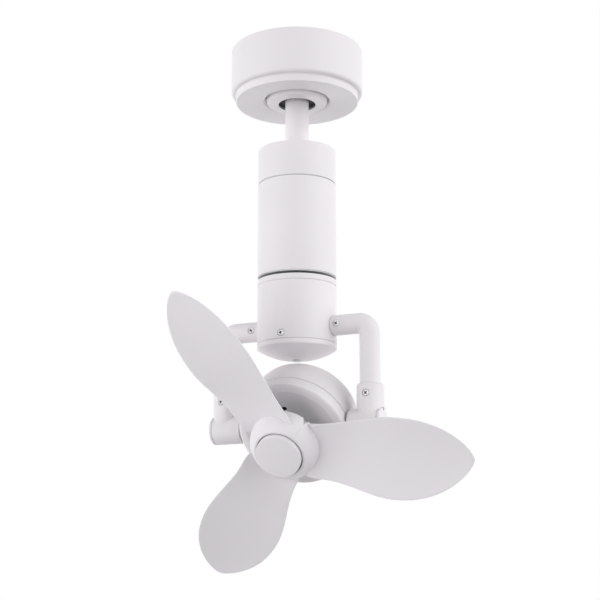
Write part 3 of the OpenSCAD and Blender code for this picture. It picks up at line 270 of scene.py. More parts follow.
# %% [markdown]
# ## Finishes
# A finish places the groups, gives them its own tones and scales, and feeds them to the shader. The
# white parts carry a fine orange-peel skin, as powder coat has. Bare metal has a finer grain than
# paint, and on the plated parts the tone drifts over shorter distances.

# %% Finish maker
finishes = {}
PEEL_DEPTH = 0.0005  # height of the skin's grain, in metres
DUST_AMOUNT = 0.12


def coated(name, tone, drift_tone, rough, grain_scale=900.0, peel=0.04, drift_scale=12.0, metal=0.0):
    """A finish with a skin and dust: two tones, a range of roughness and the scale of its grain."""
    finish = bpy.data.materials.new(name)
    finish.use_nodes = True
    tree = finish.node_tree
    shader = tree.nodes["Principled BSDF"]
    skin_node = tree.nodes.new("ShaderNodeGroup")
    skin_node.node_tree = skin
    skin_node.inputs["Tone"].default_value = (*tone, 1)
    skin_node.inputs["Drift Tone"].default_value = (*drift_tone, 1)
    skin_node.inputs["Drift Scale"].default_value = drift_scale
    skin_node.inputs["Grain Scale"].default_value = grain_scale
    skin_node.inputs["Roughness Low"].default_value = rough[0]
    skin_node.inputs["Roughness High"].default_value = rough[1]
    dust_node = tree.nodes.new("ShaderNodeGroup")
    dust_node.node_tree = dust
    dust_node.inputs["Amount"].default_value = DUST_AMOUNT
    bump = tree.nodes.new("ShaderNodeBump")
    bump.inputs["Strength"].default_value = peel
    bump.inputs["Distance"].default_value = PEEL_DEPTH
    tree.links.new(skin_node.outputs["Color"], dust_node.inputs["Color"])
    tree.links.new(dust_node.outputs["Color"], shader.inputs["Base Color"])
    tree.links.new(skin_node.outputs["Roughness"], shader.inputs["Roughness"])
    tree.links.new(skin_node.outputs["Height"], bump.inputs["Height"])
    tree.links.new(bump.outputs["Normal"], shader.inputs["Normal"])
    shader.inputs["Metallic"].default_value = metal
    finishes[name] = finish


# %% White finishes
coated("white_paint", (0.81, 0.786, 0.81), (0.79, 0.768, 0.79), (0.34, 0.46), peel=0.05)
coated("white_casting", (0.80, 0.777, 0.80), (0.775, 0.757, 0.775), (0.36, 0.5),
       grain_scale=700, peel=0.08)
coated("white_plastic", (0.79, 0.768, 0.80), (0.77, 0.75, 0.78), (0.40, 0.5),
       grain_scale=1500, peel=0.012)
coated("ivory_plastic", (0.72, 0.69, 0.58), (0.68, 0.65, 0.54), (0.4, 0.5), grain_scale=1200)
print("white and ivory:", list(finishes))

# %% Dark and bare finishes
coated("black_rubber", (0.018, 0.018, 0.02), (0.03, 0.03, 0.032), (0.55, 0.7),
       grain_scale=1200, peel=0.1)
coated("black_plastic", (0.02, 0.02, 0.022), (0.028, 0.028, 0.03), (0.4, 0.5), grain_scale=1500)
coated("lead_sheath", (0.025, 0.025, 0.027), (0.035, 0.035, 0.037), (0.45, 0.55), grain_scale=1800)
coated("bright_screw", (0.86, 0.86, 0.87), (0.8, 0.8, 0.82), (0.16, 0.26),
       grain_scale=2500, peel=0.06, metal=1.0, drift_scale=300)
coated("zinc_steel", (0.52, 0.53, 0.55), (0.42, 0.43, 0.46), (0.3, 0.45),
       grain_scale=1500, metal=1.0, drift_scale=90)
coated("bearing_steel", (0.6, 0.61, 0.63), (0.55, 0.56, 0.58), (0.14, 0.24),
       grain_scale=2500, metal=1.0)
coated("bare_aluminium", (0.62, 0.63, 0.65), (0.54, 0.55, 0.57), (0.35, 0.5),
       grain_scale=1200, peel=0.1, metal=1.0)
coated("brass_parts", (0.62, 0.44, 0.18), (0.5, 0.34, 0.13), (0.25, 0.38),
       grain_scale=1800, metal=1.0)
coated("grey_motor", (0.36, 0.37, 0.39), (0.3, 0.31, 0.33), (0.32, 0.46),
       grain_scale=1500, metal=1.0)
print("coated finishes:", len(finishes))

# %% [markdown]
# ## Two special finishes
# In the photograph each screw's cross is nearly black, because no light reaches into it. The soft
# sky alone leaves it grey, so the finish mixes in a dark tone where the screw's own attribute marks
# the cross. Stacked iron and wound copper show fine even lines, which a wave texture gives.


# %% Painted shade in the screws' cross
def mix_in_painted_shade(finish, attribute, tone):
    """Mixes painted shade, a dark tone, into a finish where the piece's own attribute says so."""
    tree = finish.node_tree
    shader = tree.nodes["Principled BSDF"]
    bare = shader.inputs["Base Color"].links[0].from_socket
    mask = tree.nodes.new("ShaderNodeAttribute")
    mask.attribute_name = attribute
    mix = colour_mix(tree)
    mix.inputs["B"].default_value = (*tone, 1)
    tree.links.new(mask.outputs["Fac"], mix.inputs["Factor"])
    tree.links.new(bare, mix.inputs["A"])
    tree.links.new(mix.outputs["Result"], shader.inputs["Base Color"])


# painted shade: the screw finish gets a dark tone in the cross, in place of the shade inside the
# recess
mix_in_painted_shade(finishes["bright_screw"], "cross", (0.05, 0.05, 0.055))

# %% Banded finishes
BAND_DEPTH = 0.0004


def banded(name, tone, gap_tone, scale, rough, metal):
    """A finish of fine even lines across the Z axis, with dark gaps between them."""
    finish = bpy.data.materials.new(name)
    finish.use_nodes = True
    tree = finish.node_tree
    shader = tree.nodes["Principled BSDF"]
    place = tree.nodes.new("ShaderNodeTexCoord")
    bands = tree.nodes.new("ShaderNodeTexWave")
    bands.bands_direction = "Z"
    bands.inputs["Scale"].default_value = scale
    bands.inputs["Distortion"].default_value = 0.4
    mix = colour_mix(tree)
    mix.inputs["A"].default_value = (*gap_tone, 1)
    mix.inputs["B"].default_value = (*tone, 1)
    bump = tree.nodes.new("ShaderNodeBump")
    bump.inputs["Strength"].default_value = 0.3
    bump.inputs["Distance"].default_value = BAND_DEPTH
    tree.links.new(place.outputs["Object"], bands.inputs["Vector"])
    tree.links.new(bands.outputs["Fac"], mix.inputs["Factor"])
    tree.links.new(mix.outputs["Result"], shader.inputs["Base Color"])
    tree.links.new(bands.outputs["Fac"], bump.inputs["Height"])
    tree.links.new(bump.outputs["Normal"], shader.inputs["Normal"])
    shader.inputs["Roughness"].default_value = rough
    shader.inputs["Metallic"].default_value = metal
    finishes[name] = finish


banded("laminations", (0.3, 0.31, 0.33), (0.12, 0.12, 0.13), 400, 0.45, 0.9)
banded("copper_wire", (0.55, 0.24, 0.09), (0.2, 0.07, 0.03), 260, 0.3, 0.8)
print("finishes:", len(finishes))

# %% [markdown]
# ## Dressing the CAD nodes
# The nodes that stay have the right shape already. Each takes the finish of its material slot.

# %% Finish every node
slot_of = {entry["node"]: entry["material_slot"] for entry in frame["record"]["subparts"]}
for name, node in nodes.items():
    node.data.materials.clear()
    node.data.materials.append(finishes[slot_of[name]])
print("finished nodes:", len(slot_of))

# %% [markdown]
# ## The maker's helpers
# Most pieces are turned: a ring of points is extruded and scaled along an outline, as a lathe tool
# follows a template. Corners of the outline are eased first, so that each edge catches a thin line
# of light. Pieces are cut or joined with exact Booleans, and each ends at the origin with its place
# in its mesh.

# %% Outline helpers
ON_AXIS = 1e-6  # radius in mm under which a point is on the axis
STRAIGHT = 0.12  # sine of the turn under which a corner is left


def shares(steps):
    """Even shares from 0 to 1, with both ends."""
    return [k / steps for k in range(steps + 1)]


def corner(radius, height, size, start):
    """Points of a quarter round, from the start angle on, round a centre at a radius and height."""
    angles = [math.radians(start + 90 * share) for share in shares(6)]
    return [(radius + size * math.cos(a), height + size * math.sin(a)) for a in angles]


def eased(outline, ease, steps=3):
    """Rounds the corners of a closed outline of (radius, height) points by up to ease."""
    smooth = []
    for i, point in enumerate(outline):
        here = Vector(point)
        back = Vector(outline[i - 1]) - here
        ahead = Vector(outline[(i + 1) % len(outline)]) - here
        turn_here = abs(back.normalized().cross(ahead.normalized()))
        if here.x < ON_AXIS or turn_here < STRAIGHT:
            smooth.append(here)
            continue
        reach = min(ease, back.length * 0.45, ahead.length * 0.45)
        start = here + back.normalized() * reach
        end = here + ahead.normalized() * reach
        for t in shares(steps):
            smooth.append(start * (1 - t) ** 2 + here * 2 * t * (1 - t) + end * t ** 2)
    return [(p.x, p.y) for p in smooth]


# %% Turning helper
POLE_R = 1e-4  # radius in mm of a ring that merges to a pole
MERGE = 1e-6  # points nearer than this, in metres, are merged


def join_ends(piece, parts):
    """Bridges the first and the last ring of a piece that is in edit mode."""
    bpy.ops.mesh.select_all(action="DESELECT")
    bpy.ops.object.mode_set(mode="OBJECT")
    last = len(piece.data.vertices) - parts
    for v in piece.data.vertices:
        v.select = v.index < parts or v.index >= last
    for e in piece.data.edges:
        a, b = e.vertices
        e.select = (a < parts and b < parts) or (a >= last and b >= last)
    bpy.ops.object.mode_set(mode="EDIT")
    bpy.ops.mesh.select_mode(type="EDGE")
    bpy.ops.mesh.bridge_edge_loops()
    bpy.ops.mesh.select_mode(type="VERT")


def turned(name, outline, parts=144):
    """Turns a closed outline of (radius, height) points in mm round the Z axis."""
    clear_selection()
    on_axis = [i for i, p in enumerate(outline) if p[0] < ON_AXIS]
    if on_axis:  # a solid form starts and ends at the axis
        outline = outline[on_axis[0]:] + outline[:on_axis[0]]
        if len(on_axis) >= 2 and outline[1][0] < ON_AXIS:
            outline = outline[1:] + outline[:1]
    points = [(max(r, POLE_R) * MM, z * MM) for r, z in outline]
    bpy.ops.mesh.primitive_circle_add(vertices=parts, radius=points[0][0], location=(0, 0, 0))
    piece = bpy.context.object
    piece.name = name
    piece.data.name = name
    bpy.ops.object.mode_set(mode="EDIT")
    bpy.ops.mesh.select_all(action="SELECT")
    bpy.ops.transform.translate(value=(0, 0, points[0][1]))
    for (r0, z0), (r1, z1) in zip(points, points[1:]):
        bpy.ops.mesh.extrude_region_move(TRANSFORM_OT_translate={"value": (0, 0, z1 - z0)})
        bpy.ops.transform.resize(value=(r1 / r0, r1 / r0, 1), center_override=(0, 0, z1))
    if not on_axis:
        join_ends(piece, parts)
    bpy.ops.mesh.select_all(action="SELECT")
    bpy.ops.mesh.remove_doubles(threshold=MERGE)
    bpy.ops.mesh.normals_make_consistent(inside=False)
    bpy.ops.object.mode_set(mode="OBJECT")
    return piece


# %% Cut, join, move and copy helpers
def pick(piece):
    """Makes a piece the only one selected, and the active one."""
    clear_selection()
    piece.select_set(True)
    bpy.context.view_layer.objects.active = piece


def boolean(piece, tool, kind):
    """Applies a tool to a piece as an exact Boolean, and removes the tool."""
    pick(piece)
    step = piece.modifiers.new("shape", "BOOLEAN")
    step.operation = kind
    step.solver = "EXACT"
    step.object = tool
    bpy.ops.object.modifier_apply(modifier=step.name)
    bpy.data.objects.remove(tool)


def cut(piece, tool):
    boolean(piece, tool, "DIFFERENCE")


def join(piece, tool):
    boolean(piece, tool, "UNION")


def placed(piece, matrix):
    """Moves a mesh, and turns its faces outward again where the matrix mirrors it."""
    piece.data.transform(matrix)
    if matrix.determinant() < 0:
        piece.data.flip_normals()
    return piece


def copied(piece, name, matrix):
    """A copy with its own mesh, moved by a matrix."""
    twin = piece.copy()
    twin.data = piece.data.copy()
    twin.name = name
    twin.data.name = name
    bpy.context.scene.collection.objects.link(twin)
    return placed(twin, matrix)


# %% Tool helpers
def rod_tool(radius, start, direction, length, parts=96):
    """A plain round tool from a start point along a direction, all in mm."""
    clear_selection()
    bpy.ops.mesh.primitive_cylinder_add(vertices=parts, radius=radius * MM, depth=length * MM)
    tool = bpy.context.object
    facing = Vector(direction).to_track_quat("Z", "Y").to_matrix().to_4x4()
    middle = (Vector(start) + Vector(direction).normalized() * length / 2) * MM
    return placed(tool, Matrix.Translation(middle) @ facing)


def block_tool(size, middle):
    """A plain block of a size round a middle point, all in mm."""
    clear_selection()
    bpy.ops.mesh.primitive_cube_add(size=1, location=[c * MM for c in middle])
    block = bpy.context.object
    block.dimensions = [c * MM for c in size]
    bpy.ops.object.transform_apply(location=True, rotation=True, scale=True)
    return block


def outward(turn):
    """The level direction at a turn from the X axis, in degrees."""
    return Vector((math.cos(math.radians(turn)), math.sin(math.radians(turn)), 0))


# %% Finishing helper
def dressed(piece, body, finish, stands_for=(), angle=32):
    """Smooths a piece, sets its finish and its body, and hides the CAD nodes that it stands for."""
    pick(piece)
    bpy.ops.object.shade_smooth_by_angle(angle=math.radians(angle))
    piece.data.materials.clear()
    piece.data.materials.append(finishes[finish])
    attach(piece, body)
    if stands_for:
        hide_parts(*stands_for)
    print("piece", piece.name, "faces", len(piece.data.polygons))


# %% [markdown]
# ## Places from the frame
# The heights and radii come from the CAD nodes' own boxes, so the pieces follow the model if its
# sizes change.

# %% Heights and radii
def low(node):
    """A CAD node's lowest corner, in mm."""
    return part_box(node)[0] / MM


def high(node):
    """A CAD node's highest corner, in mm."""
    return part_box(node)[1] / MM


canopy_r = high("canopy").x
canopy_top = high("canopy").z
canopy_foot = low("canopy").z
cover_r = high("canopy_cover").x
cover_foot = low("canopy_cover").z
socket_foot = low("ball_socket").z
housing_r = high("upper_cap").x
cap_top = high("upper_cap").z
cap_foot = low("upper_cap").z
sleeve_top = high("housing_sleeve").z
sleeve_foot = low("housing_sleeve").z
ring_top = high("carrier_ring").z
lower_top = high("lower_housing").z
lower_foot = low("lower_housing").z
dome_foot = low("bottom_cap").z
arm_r = high("arm_right").y
arm_z = high("arm_right").z - arm_r
arm_x = high("arm_right").x - arm_r
tilt_z = (low("pivot_studs").z + high("pivot_studs").z) / 2
rod_r = high("down_rod").x
print("housing radius", round(housing_r, 2), "arm height", round(arm_z, 2),
      "tilt axis", round(tilt_z, 2))

# %% [markdown]
# ## Canopy
# The canopy is a pressed drum with a rolled lower edge, open at the top. Its cover is a ring that
# hides the screws. The cover's underside rises to its opening like a shallow dish, and ends there
# in a rolled lip that catches the light. Both are turned from their sections, wall and all, and a
# section of straight lines and quarter rounds is enough for a pressed part.

# %% Canopy drum
sheet, roll = 1.5, 4.0  # wall of the pressed parts, and the drum's roll
flange_r = 56.0  # opening in the drum's in-turned flange
canopy = turned("canopy_drum", eased(
    [(flange_r, canopy_foot)] + corner(canopy_r - roll, canopy_foot + roll, roll, -90)
    + [(canopy_r, canopy_top), (canopy_r - sheet, canopy_top)]
    + corner(canopy_r - roll, canopy_foot + roll, roll - sheet, -90)[::-1]
    + [(flange_r, canopy_foot + sheet)], 0.5))
dressed(canopy, "ceiling", "white_paint", ["canopy"])

# %% Cover ring
hole_r, dish = 40.0, 2.0  # opening, and how far the underside rises to it
lip, lip_sheet = 3.5, 1.2  # rolled lip round the opening, and its wall
lip_z = cover_foot + dish + lip
cover = turned("canopy_cover_ring", eased(
    [(hole_r - lip, lip_z + 1)] + corner(hole_r, lip_z, lip, 180)
    + [(cover_r, cover_foot), (cover_r, canopy_foot - 2), (cover_r + 0.5, canopy_foot - 0.6),
       (cover_r + 1.6, canopy_foot), (cover_r - sheet, canopy_foot),
       (cover_r - sheet, cover_foot + sheet)]
    + corner(hole_r, lip_z, lip - lip_sheet, 180)[::-1]
    + [(hole_r - lip + lip_sheet, lip_z + 1)], 1.0))
dressed(cover, "ceiling", "white_paint", ["canopy_cover"])

# %% [markdown]
# ## Socket and ball
# The socket is a flat-faced ring with the ball's seat turned into it, and two ears hold it under
# the bracket. The rubber covered ball stops short of the ring's face, so the hole round the rod
# looks dark. Seat and ball follow one formula for a sphere, with play between their radii.

# %% Socket ring
lip_r, ring_r, ball_seat_r = 21.0, 34.5, 28.05
ring_edge = 3.0
ball_z = socket_foot + math.sqrt(ball_seat_r ** 2 - lip_r ** 2)
screw_bore = 1.65
ear_in, ear_w, ear_t = 32, 26, 3  # inner end, width and thickness of the ears


def ball_arc(radius, z_from, z_to, steps=10):
    """Points along the ball's outline between two heights, for a radius round its centre."""
    heights = [z_from + (z_to - z_from) * share for share in shares(steps)]
    return [(math.sqrt(radius ** 2 - (z - ball_z) ** 2), z) for z in heights]


socket = turned("socket_ring_shell", eased(
    [(ring_r, canopy_foot)]
    + corner(ring_r - ring_edge, socket_foot + ring_edge + 0.5, ring_edge, -90)[::-1]
    + [(lip_r, socket_foot)] + ball_arc(ball_seat_r, socket_foot + 0.3, canopy_foot), 0.7))
ear_out = high("ball_socket").x
for side in (-1, 1):
    ear = block_tool((ear_out - ear_in, ear_w, ear_t),
                     (side * (ear_out + ear_in) / 2, 0, canopy_foot - ear_t / 2))
    cut(ear, rod_tool(screw_bore, (side * (ear_out - 7), 0, canopy_foot - 5), (0, 0, 1), 8, 32))
    join(socket, ear)
dressed(socket, "ceiling", "white_paint", ["ball_socket"])

# %% Ball
ball_r, pin_bore, rod_play = 28.0, 3.1, 0.1
ball_foot, ball_head = low("hanger_ball").z, high("hanger_ball").z
ball = turned("rubber_ball", eased(
    [(rod_r + rod_play, ball_foot)] + ball_arc(ball_r, ball_foot, ball_head, 20)
    + [(rod_r + rod_play, ball_head)], 0.5))
cut(ball, rod_tool(pin_bore, (-30, 0, ball_head + 0.5), (1, 0, 0), 60, 48))
dressed(ball, "hanging", "black_rubber", ["hanger_ball"])
print("ball centre", round(ball_z, 2))

# %% [markdown]
# ## Drive housing
# Five shells stack up here. Each is turned with eased rims, and the plates between them show as
# dark grooves. The upper cap and the plate let into its top are two pieces on the real fan. Here
# one cup stands for both, which leaves out their seam: it would show only from above.

# %% Upper cap and sleeve
wall = 2.0
upper_cap = turned("upper_cap_shell", eased([
    (rod_r + 1, cap_top - wall), (rod_r + 1, cap_top), (housing_r, cap_top), (housing_r, cap_foot),
    (housing_r - wall, cap_foot), (housing_r - wall, cap_top - wall)], 1.1))
dressed(upper_cap, "hanging", "white_paint", ["upper_cap", "top_plate"])
sleeve = turned("sleeve_shell", eased([
    (housing_r, sleeve_top), (housing_r, sleeve_foot), (housing_r - wall, sleeve_foot),
    (housing_r - wall, sleeve_top)], 0.5))
dressed(sleeve, "hanging", "white_paint", ["housing_sleeve"])

# %% Carrier ring
groove = 0.9  # depth of the fine grooves
nest_r = housing_r - wall - 0.05  # rims that sit inside the lower shell
shaft_hole, spigot_in = 9.05, 18  # openings of its plate and of its spigot
ring_foot = lower_top + 1.0
spigot_foot = low("carrier_ring").z
carrier = turned("carrier_shell", eased([
    (shaft_hole, ring_top), (housing_r, ring_top), (housing_r, ring_foot),
    (housing_r - groove, ring_foot), (housing_r - groove, lower_top), (nest_r, lower_top),
    (nest_r, spigot_foot), (spigot_in, spigot_foot), (spigot_in, ring_foot),
    (shaft_hole, ring_foot)], 0.4))
dressed(carrier, "carrier", "white_paint", ["carrier_ring"])

# %% [markdown]
# ## Lower housing and bottom cap
# The lower shell gets the round openings for the two arms, and a flat seat with a bore for each of
# its three screws, because a screw's flat underside needs a flat to rest on. The bottom cap is a
# shallow dome. Its outline follows a share squared, which starts level at the plug and steepens
# to the rim.

# %% Lower housing
CAP_SCREW_TURNS = (-90, 30, 150)
screw_z = lower_foot + 6
seat_r, seat_depth = 4.1, 1.3
seat_y = housing_r - seat_depth
lower = turned("lower_shell", eased([
    (housing_r, lower_top), (housing_r, lower_foot), (housing_r - wall, lower_foot),
    (housing_r - wall, lower_top)], 0.5))
cut(lower, rod_tool(9.3, (-60, 0, arm_z), (1, 0, 0), 120))
for turn in CAP_SCREW_TURNS:
    way = outward(turn)
    cut(lower, rod_tool(seat_r, way * seat_y + Vector((0, 0, screw_z)), way, 6, 48))
    cut(lower, rod_tool(screw_bore, way * (seat_y - 5) + Vector((0, 0, screw_z)), way, 6, 32))
dressed(lower, "carrier", "white_paint", ["lower_housing"])

# %% Bottom cap and its plug
plug_hole, rim_foot = 5.05, lower_foot - 5.5
spigot_r, dome_wall = housing_r - 4.4, 4  # inside of its spigot, and the dome's thickness
dome = [(plug_hole + (housing_r - plug_hole) * share, dome_foot + (rim_foot - dome_foot) * share ** 2)
        for share in shares(12)]
bottom_cap = turned("bottom_cap_shell", eased(
    dome + [(housing_r, lower_foot - 0.5), (housing_r - groove, lower_foot - 0.5),
            (housing_r - groove, lower_foot), (nest_r, lower_foot), (nest_r, lower_foot + 8),
            (spigot_r, lower_foot + 8), (spigot_r, rim_foot + 0.5), (20, dome_foot + 6.5),
            (7.5, dome_foot + dome_wall), (plug_hole, dome_foot + dome_wall)], 0.5))
dressed(bottom_cap, "carrier", "white_paint", ["bottom_cap"])
plug_r, plug_proud, plug_in = 5, 1.4, 3
plug = turned("bottom_cap_plug", eased([
    (0, dome_foot - plug_proud), (plug_r, dome_foot - plug_proud), (plug_r, dome_foot + plug_in),
    (0, dome_foot + plug_in)], 0.7))
dressed(plug, "carrier", "white_plastic", ["cap_button"])

# %% [markdown]
# ## Yoke arms
# Each arm is one tube with a tight elbow. A ring of points is extruded out, spun round the elbow and
# extruded down. Solidify gives it a wall, and a cut with the housing's own radius gives it the
# saddle shape that shows as a fine dark curve. The left arm is the mirrored copy.

# %% Arm tube
arm_start, elbow, tube_wall = 36, 12.0, 2
arm_foot = low("arm_right").z
clear_selection()
bpy.ops.mesh.primitive_circle_add(vertices=72, radius=arm_r * MM, location=(0, 0, 0))
arm = bpy.context.object
arm.name = "arm_tube_right"
bpy.ops.object.mode_set(mode="EDIT")
bpy.ops.mesh.select_all(action="SELECT")
bpy.ops.transform.rotate(value=math.radians(90), orient_axis="Y", center_override=(0, 0, 0))
bpy.ops.transform.translate(value=(arm_start * MM, 0, arm_z * MM))
bpy.ops.mesh.extrude_region_move(
    TRANSFORM_OT_translate={"value": ((arm_x - elbow - arm_start) * MM, 0, 0)})
bpy.ops.mesh.spin(steps=18, angle=math.radians(-90), axis=(0, 1, 0),
                  center=((arm_x - elbow) * MM, 0, (arm_z - elbow) * MM))
bpy.ops.mesh.extrude_region_move(
    TRANSFORM_OT_translate={"value": (0, 0, (arm_foot - arm_z + elbow) * MM)})
bpy.ops.mesh.select_all(action="SELECT")
bpy.ops.mesh.remove_doubles(threshold=MERGE)
bpy.ops.mesh.normals_make_consistent(inside=False)
bpy.ops.object.mode_set(mode="OBJECT")
wall_step = arm.modifiers.new("wall", "SOLIDIFY")
wall_step.thickness = tube_wall * MM
wall_step.offset = -1
bpy.ops.object.modifier_apply(modifier=wall_step.name)

# %% Saddle, screw seat and left arm
saddle_r = housing_r + 0.5
arm_screw_x = housing_r + 6.8
cut(arm, rod_tool(saddle_r, (0, 0, arm_z - 30), (0, 0, 1), 60, 144))
cut(arm, rod_tool(seat_r, (arm_screw_x, -arm_r + seat_depth, arm_z), (0, -1, 0), 6, 48))
mirror_x = Matrix.Scale(-1, 4, (1, 0, 0))
arm_twin = copied(arm, "arm_tube_left", mirror_x)
dressed(arm, "carrier", "white_paint", ["arm_right"])
dressed(arm_twin, "carrier", "white_paint", ["arm_left"])
print("arm box", [tuple(round(c / MM, 1) for c in arm.bound_box[k]) for k in (0, 6)])

# %% [markdown]
# ## T fittings
# A T fitting is one casting: an upright collar that takes the arm, and a level boss that takes the
# pivot. The two turned forms are joined, then the bores are cut, with the screw's seat at the front.
# A plastic cap with a small notch for a tool closes the boss.

# %% T fittings
boss_r, end_cap_t = 15.5, 3.5
boss_in = low("tee_right").x
boss_out = high("pivot_caps").x - end_cap_t
collar_r, collar_top = 14.7, high("tee_right").z
stud_bore, nut_bore = 8.05, 12
fitting = turned("tee_fitting_right", eased([
    (0, tilt_z), (collar_r, tilt_z), (collar_r, collar_top - 2.5), (12, collar_top),
    (0, collar_top)], 0.8))
placed(fitting, Matrix.Translation((arm_x * MM, 0, 0)))
boss = turned("boss", eased([
    (0, boss_in), (boss_r, boss_in), (boss_r, boss_out), (0, boss_out)], 0.7))
to_x = Matrix.Translation((0, 0, tilt_z * MM)) @ Matrix.Rotation(math.radians(90), 4, "Y")
join(fitting, placed(boss, to_x))
cut(fitting, rod_tool(boss_r + 0.15, (boss_out, 0, tilt_z), (1, 0, 0), 12, 144))
cut(fitting, rod_tool(arm_r + 0.05, (arm_x, 0, tilt_z + 18), (0, 0, 1), 40))
cut(fitting, rod_tool(stud_bore, (boss_in - 2, 0, tilt_z), (1, 0, 0), 30))
cut(fitting, rod_tool(nut_bore, (arm_x - 5, 0, tilt_z), (1, 0, 0), 30))
tee_screw_y, tee_screw_z = seat_depth - collar_r, tilt_z + 30
cut(fitting, rod_tool(seat_r, (arm_x, tee_screw_y, tee_screw_z), (0, -1, 0), 6, 48))
fitting_twin = copied(fitting, "tee_fitting_left", mirror_x)
dressed(fitting, "carrier", "white_casting", ["tee_right"])
dressed(fitting_twin, "carrier", "white_casting", ["tee_left"])

# %% Boss end caps
plug_in_r = nut_bore - 0.05
end_cap = turned("boss_cap_right", eased([
    (0, boss_out - 4), (plug_in_r, boss_out - 4), (plug_in_r, boss_out), (boss_r, boss_out),
    (boss_r, boss_out + end_cap_t), (0, boss_out + end_cap_t)], 1.9, 5))
placed(end_cap, to_x)
cut(end_cap, block_tool((7, 3.2, 6), (boss_out + 1, 0, tilt_z + boss_r)))
end_cap_twin = copied(end_cap, "boss_cap_left", mirror_x)
dressed(end_cap, "carrier", "white_plastic", ["pivot_caps"])
dressed(end_cap_twin, "carrier", "white_plastic")

# %% [markdown]
# ## Motor case
# The case is two cast shells that meet in a fine seam. The front shell ends in a broad bright rim
# and sinks to a dark dished face, where the shaft comes out. The dish is a formula, steep at the
# rim and level at its floor. Both shells are turned on the head's own axis and then laid along it,
# which keeps their outlines plain numbers.

# %% Head axis
TILT = math.radians(37)
head = Matrix.Translation((0, 0, tilt_z * MM)) @ Matrix.Rotation(math.radians(90) + TILT, 4, "X")
case_r, case_wall = 61.5, 2.2
case_front = 17.0  # the rim's height on the head's axis
seam, seam_gap = 1.4, 0.35  # seam between the shells, and half its width
face = 9.5  # floor of the dished face
pivot_room = 8.3  # holes at the sides for the pivots

# %% Front shell
bowl_r, flat_r = case_r - 9, 24.0  # the dish's rim, and its level floor
face_wall, nose_r, shaft_room, pocket_r = 2.6, 16, 6.5, 13
bowl = [(flat_r + (bowl_r - flat_r) * share, face + (case_front - face) * share ** 1.5)
        for share in shares(8)[::-1]]
under = [(r - 0.6, z - face_wall) for r, z in bowl[::-1]]
front_shell = turned("motor_front_shell", eased(
    [(case_r, seam + seam_gap), (case_r, case_front - 1.2), (case_r - 3.2, case_front),
     (bowl_r + 0.8, case_front)] + bowl
    + [(nose_r + 3, face), (nose_r, face + 2), (shaft_room, face + 2), (shaft_room, face - 0.5),
       (pocket_r, face - 0.5), (pocket_r, 1), (nose_r, 1), (nose_r, face - face_wall)] + under
    + [(case_r - 3.5, case_front - 3.5), (case_r - case_wall, case_front - 6),
       (case_r - case_wall, seam + seam_gap)], 1.6, 5))
placed(front_shell, head)
cut(front_shell, rod_tool(pivot_room, (-80, 0, tilt_z), (1, 0, 0), 160))

# %% Vents
VENT_TURNS = (103, 223, 343)
vent_ring, vent_len, vent_w = 28.2, 11.0, 5.4
for turn in VENT_TURNS:
    vent = rod_tool(vent_w / 2, (0, 0, face - 5), (0, 0, 1), 9, 32)
    for v in vent.data.vertices:  # the round tool is pulled out to a slot
        v.co.x += math.copysign((vent_len - vent_w) / 2, v.co.x) * MM
    spot = (Matrix.Rotation(math.radians(turn + 90), 4, "Z")
            @ Matrix.Translation((0, -vent_ring * MM, 0)))
    cut(front_shell, placed(vent, head @ spot))
dressed(front_shell, "head", "white_casting", ["motor_front"])

# %% Rear shell
shoulder, shoulder_z = 14, -26.28  # radius and centre height of its round shoulder
back, back_rise = -42.0, 3.6  # middle of its back, and the rise to the shoulder
rear = []
for k in range(13):
    a = math.radians(k * 5)
    rear.append((case_r - shoulder + shoulder * math.cos(a), shoulder_z - shoulder * math.sin(a)))
rear += [((case_r - 7) * share, back + back_rise * share ** 2) for share in shares(8)[-2::-1]]
inner = [((case_r - 9) * share, back + case_wall + back_rise * share ** 2) for share in shares(8)]
rear_shell = turned("motor_rear_shell", eased(
    [(case_r, seam - seam_gap)] + rear + inner
    + [(case_r - case_wall, -24), (case_r - case_wall, seam - seam_gap)], 0.5))
placed(rear_shell, head)
cut(rear_shell, rod_tool(pivot_room, (-80, 0, tilt_z), (1, 0, 0), 160))
dressed(rear_shell, "head", "white_casting", ["motor_rear"])

# %% [markdown]
# ## Blades
# A blade is a leaf of moulded plastic in one piece with a third of the hub's cone. A grid is laid
# out flat, and its points are moved to the leaf's outline, pitch and hollow, which no operator does
# in one step. One side of the root lifts and spreads a little, and the lift fades in outside the
# hub's groove and out along the edge. Solidify then gives the leaf more thickness at its middle
# than at its edges.

# %% Leaf form
WIDEST, TIP_R, ROOT_U, ROOT_END = 121.0, 203.2, 16.0, 38.0  # distances from the shaft's axis
ROOT_CHORD, WIDE_CHORD, ROOT_TAPER = 61, 88, 11
PITCH = math.radians(13.5)
HOLLOW = 0.05  # depth of the leaf's hollow, as a share of width
LIFT, SPREAD = 5, 2  # of the root's lifted side, in mm


def ease(x):
    """A smooth step from 0 to 1."""
    x = min(1.0, max(0.0, x))
    return x * x * (3 - 2 * x)


def chord(u):
    """The leaf's width at a distance from the shaft's axis."""
    if u < ROOT_END:
        return ROOT_CHORD - ROOT_TAPER * ((ROOT_END - u) / (ROOT_END - ROOT_U)) ** 2
    if u < WIDEST:
        return ROOT_CHORD + (WIDE_CHORD - ROOT_CHORD) * ease((u - ROOT_END) / (WIDEST - ROOT_END))
    return WIDE_CHORD * max(0.0, 1 - ((u - WIDEST) / (TIP_R - WIDEST)) ** 2.2) ** 0.7


def middle(u):
    """The height of the leaf's middle line on the head's axis."""
    if u < WIDEST:
        return 43 + 5 * ease((u - 50) / (WIDEST - 50))
    return 48 - 8 * ((u - WIDEST) / (TIP_R - WIDEST)) ** 2


def flare(u, across):
    """The share of the root's lift at a point: in from 27 to 36 mm, out from 38 to 84 mm."""
    return ease((84 - u) / 46) * ease((u - 27) / 9) * max(0.0, across) ** 2


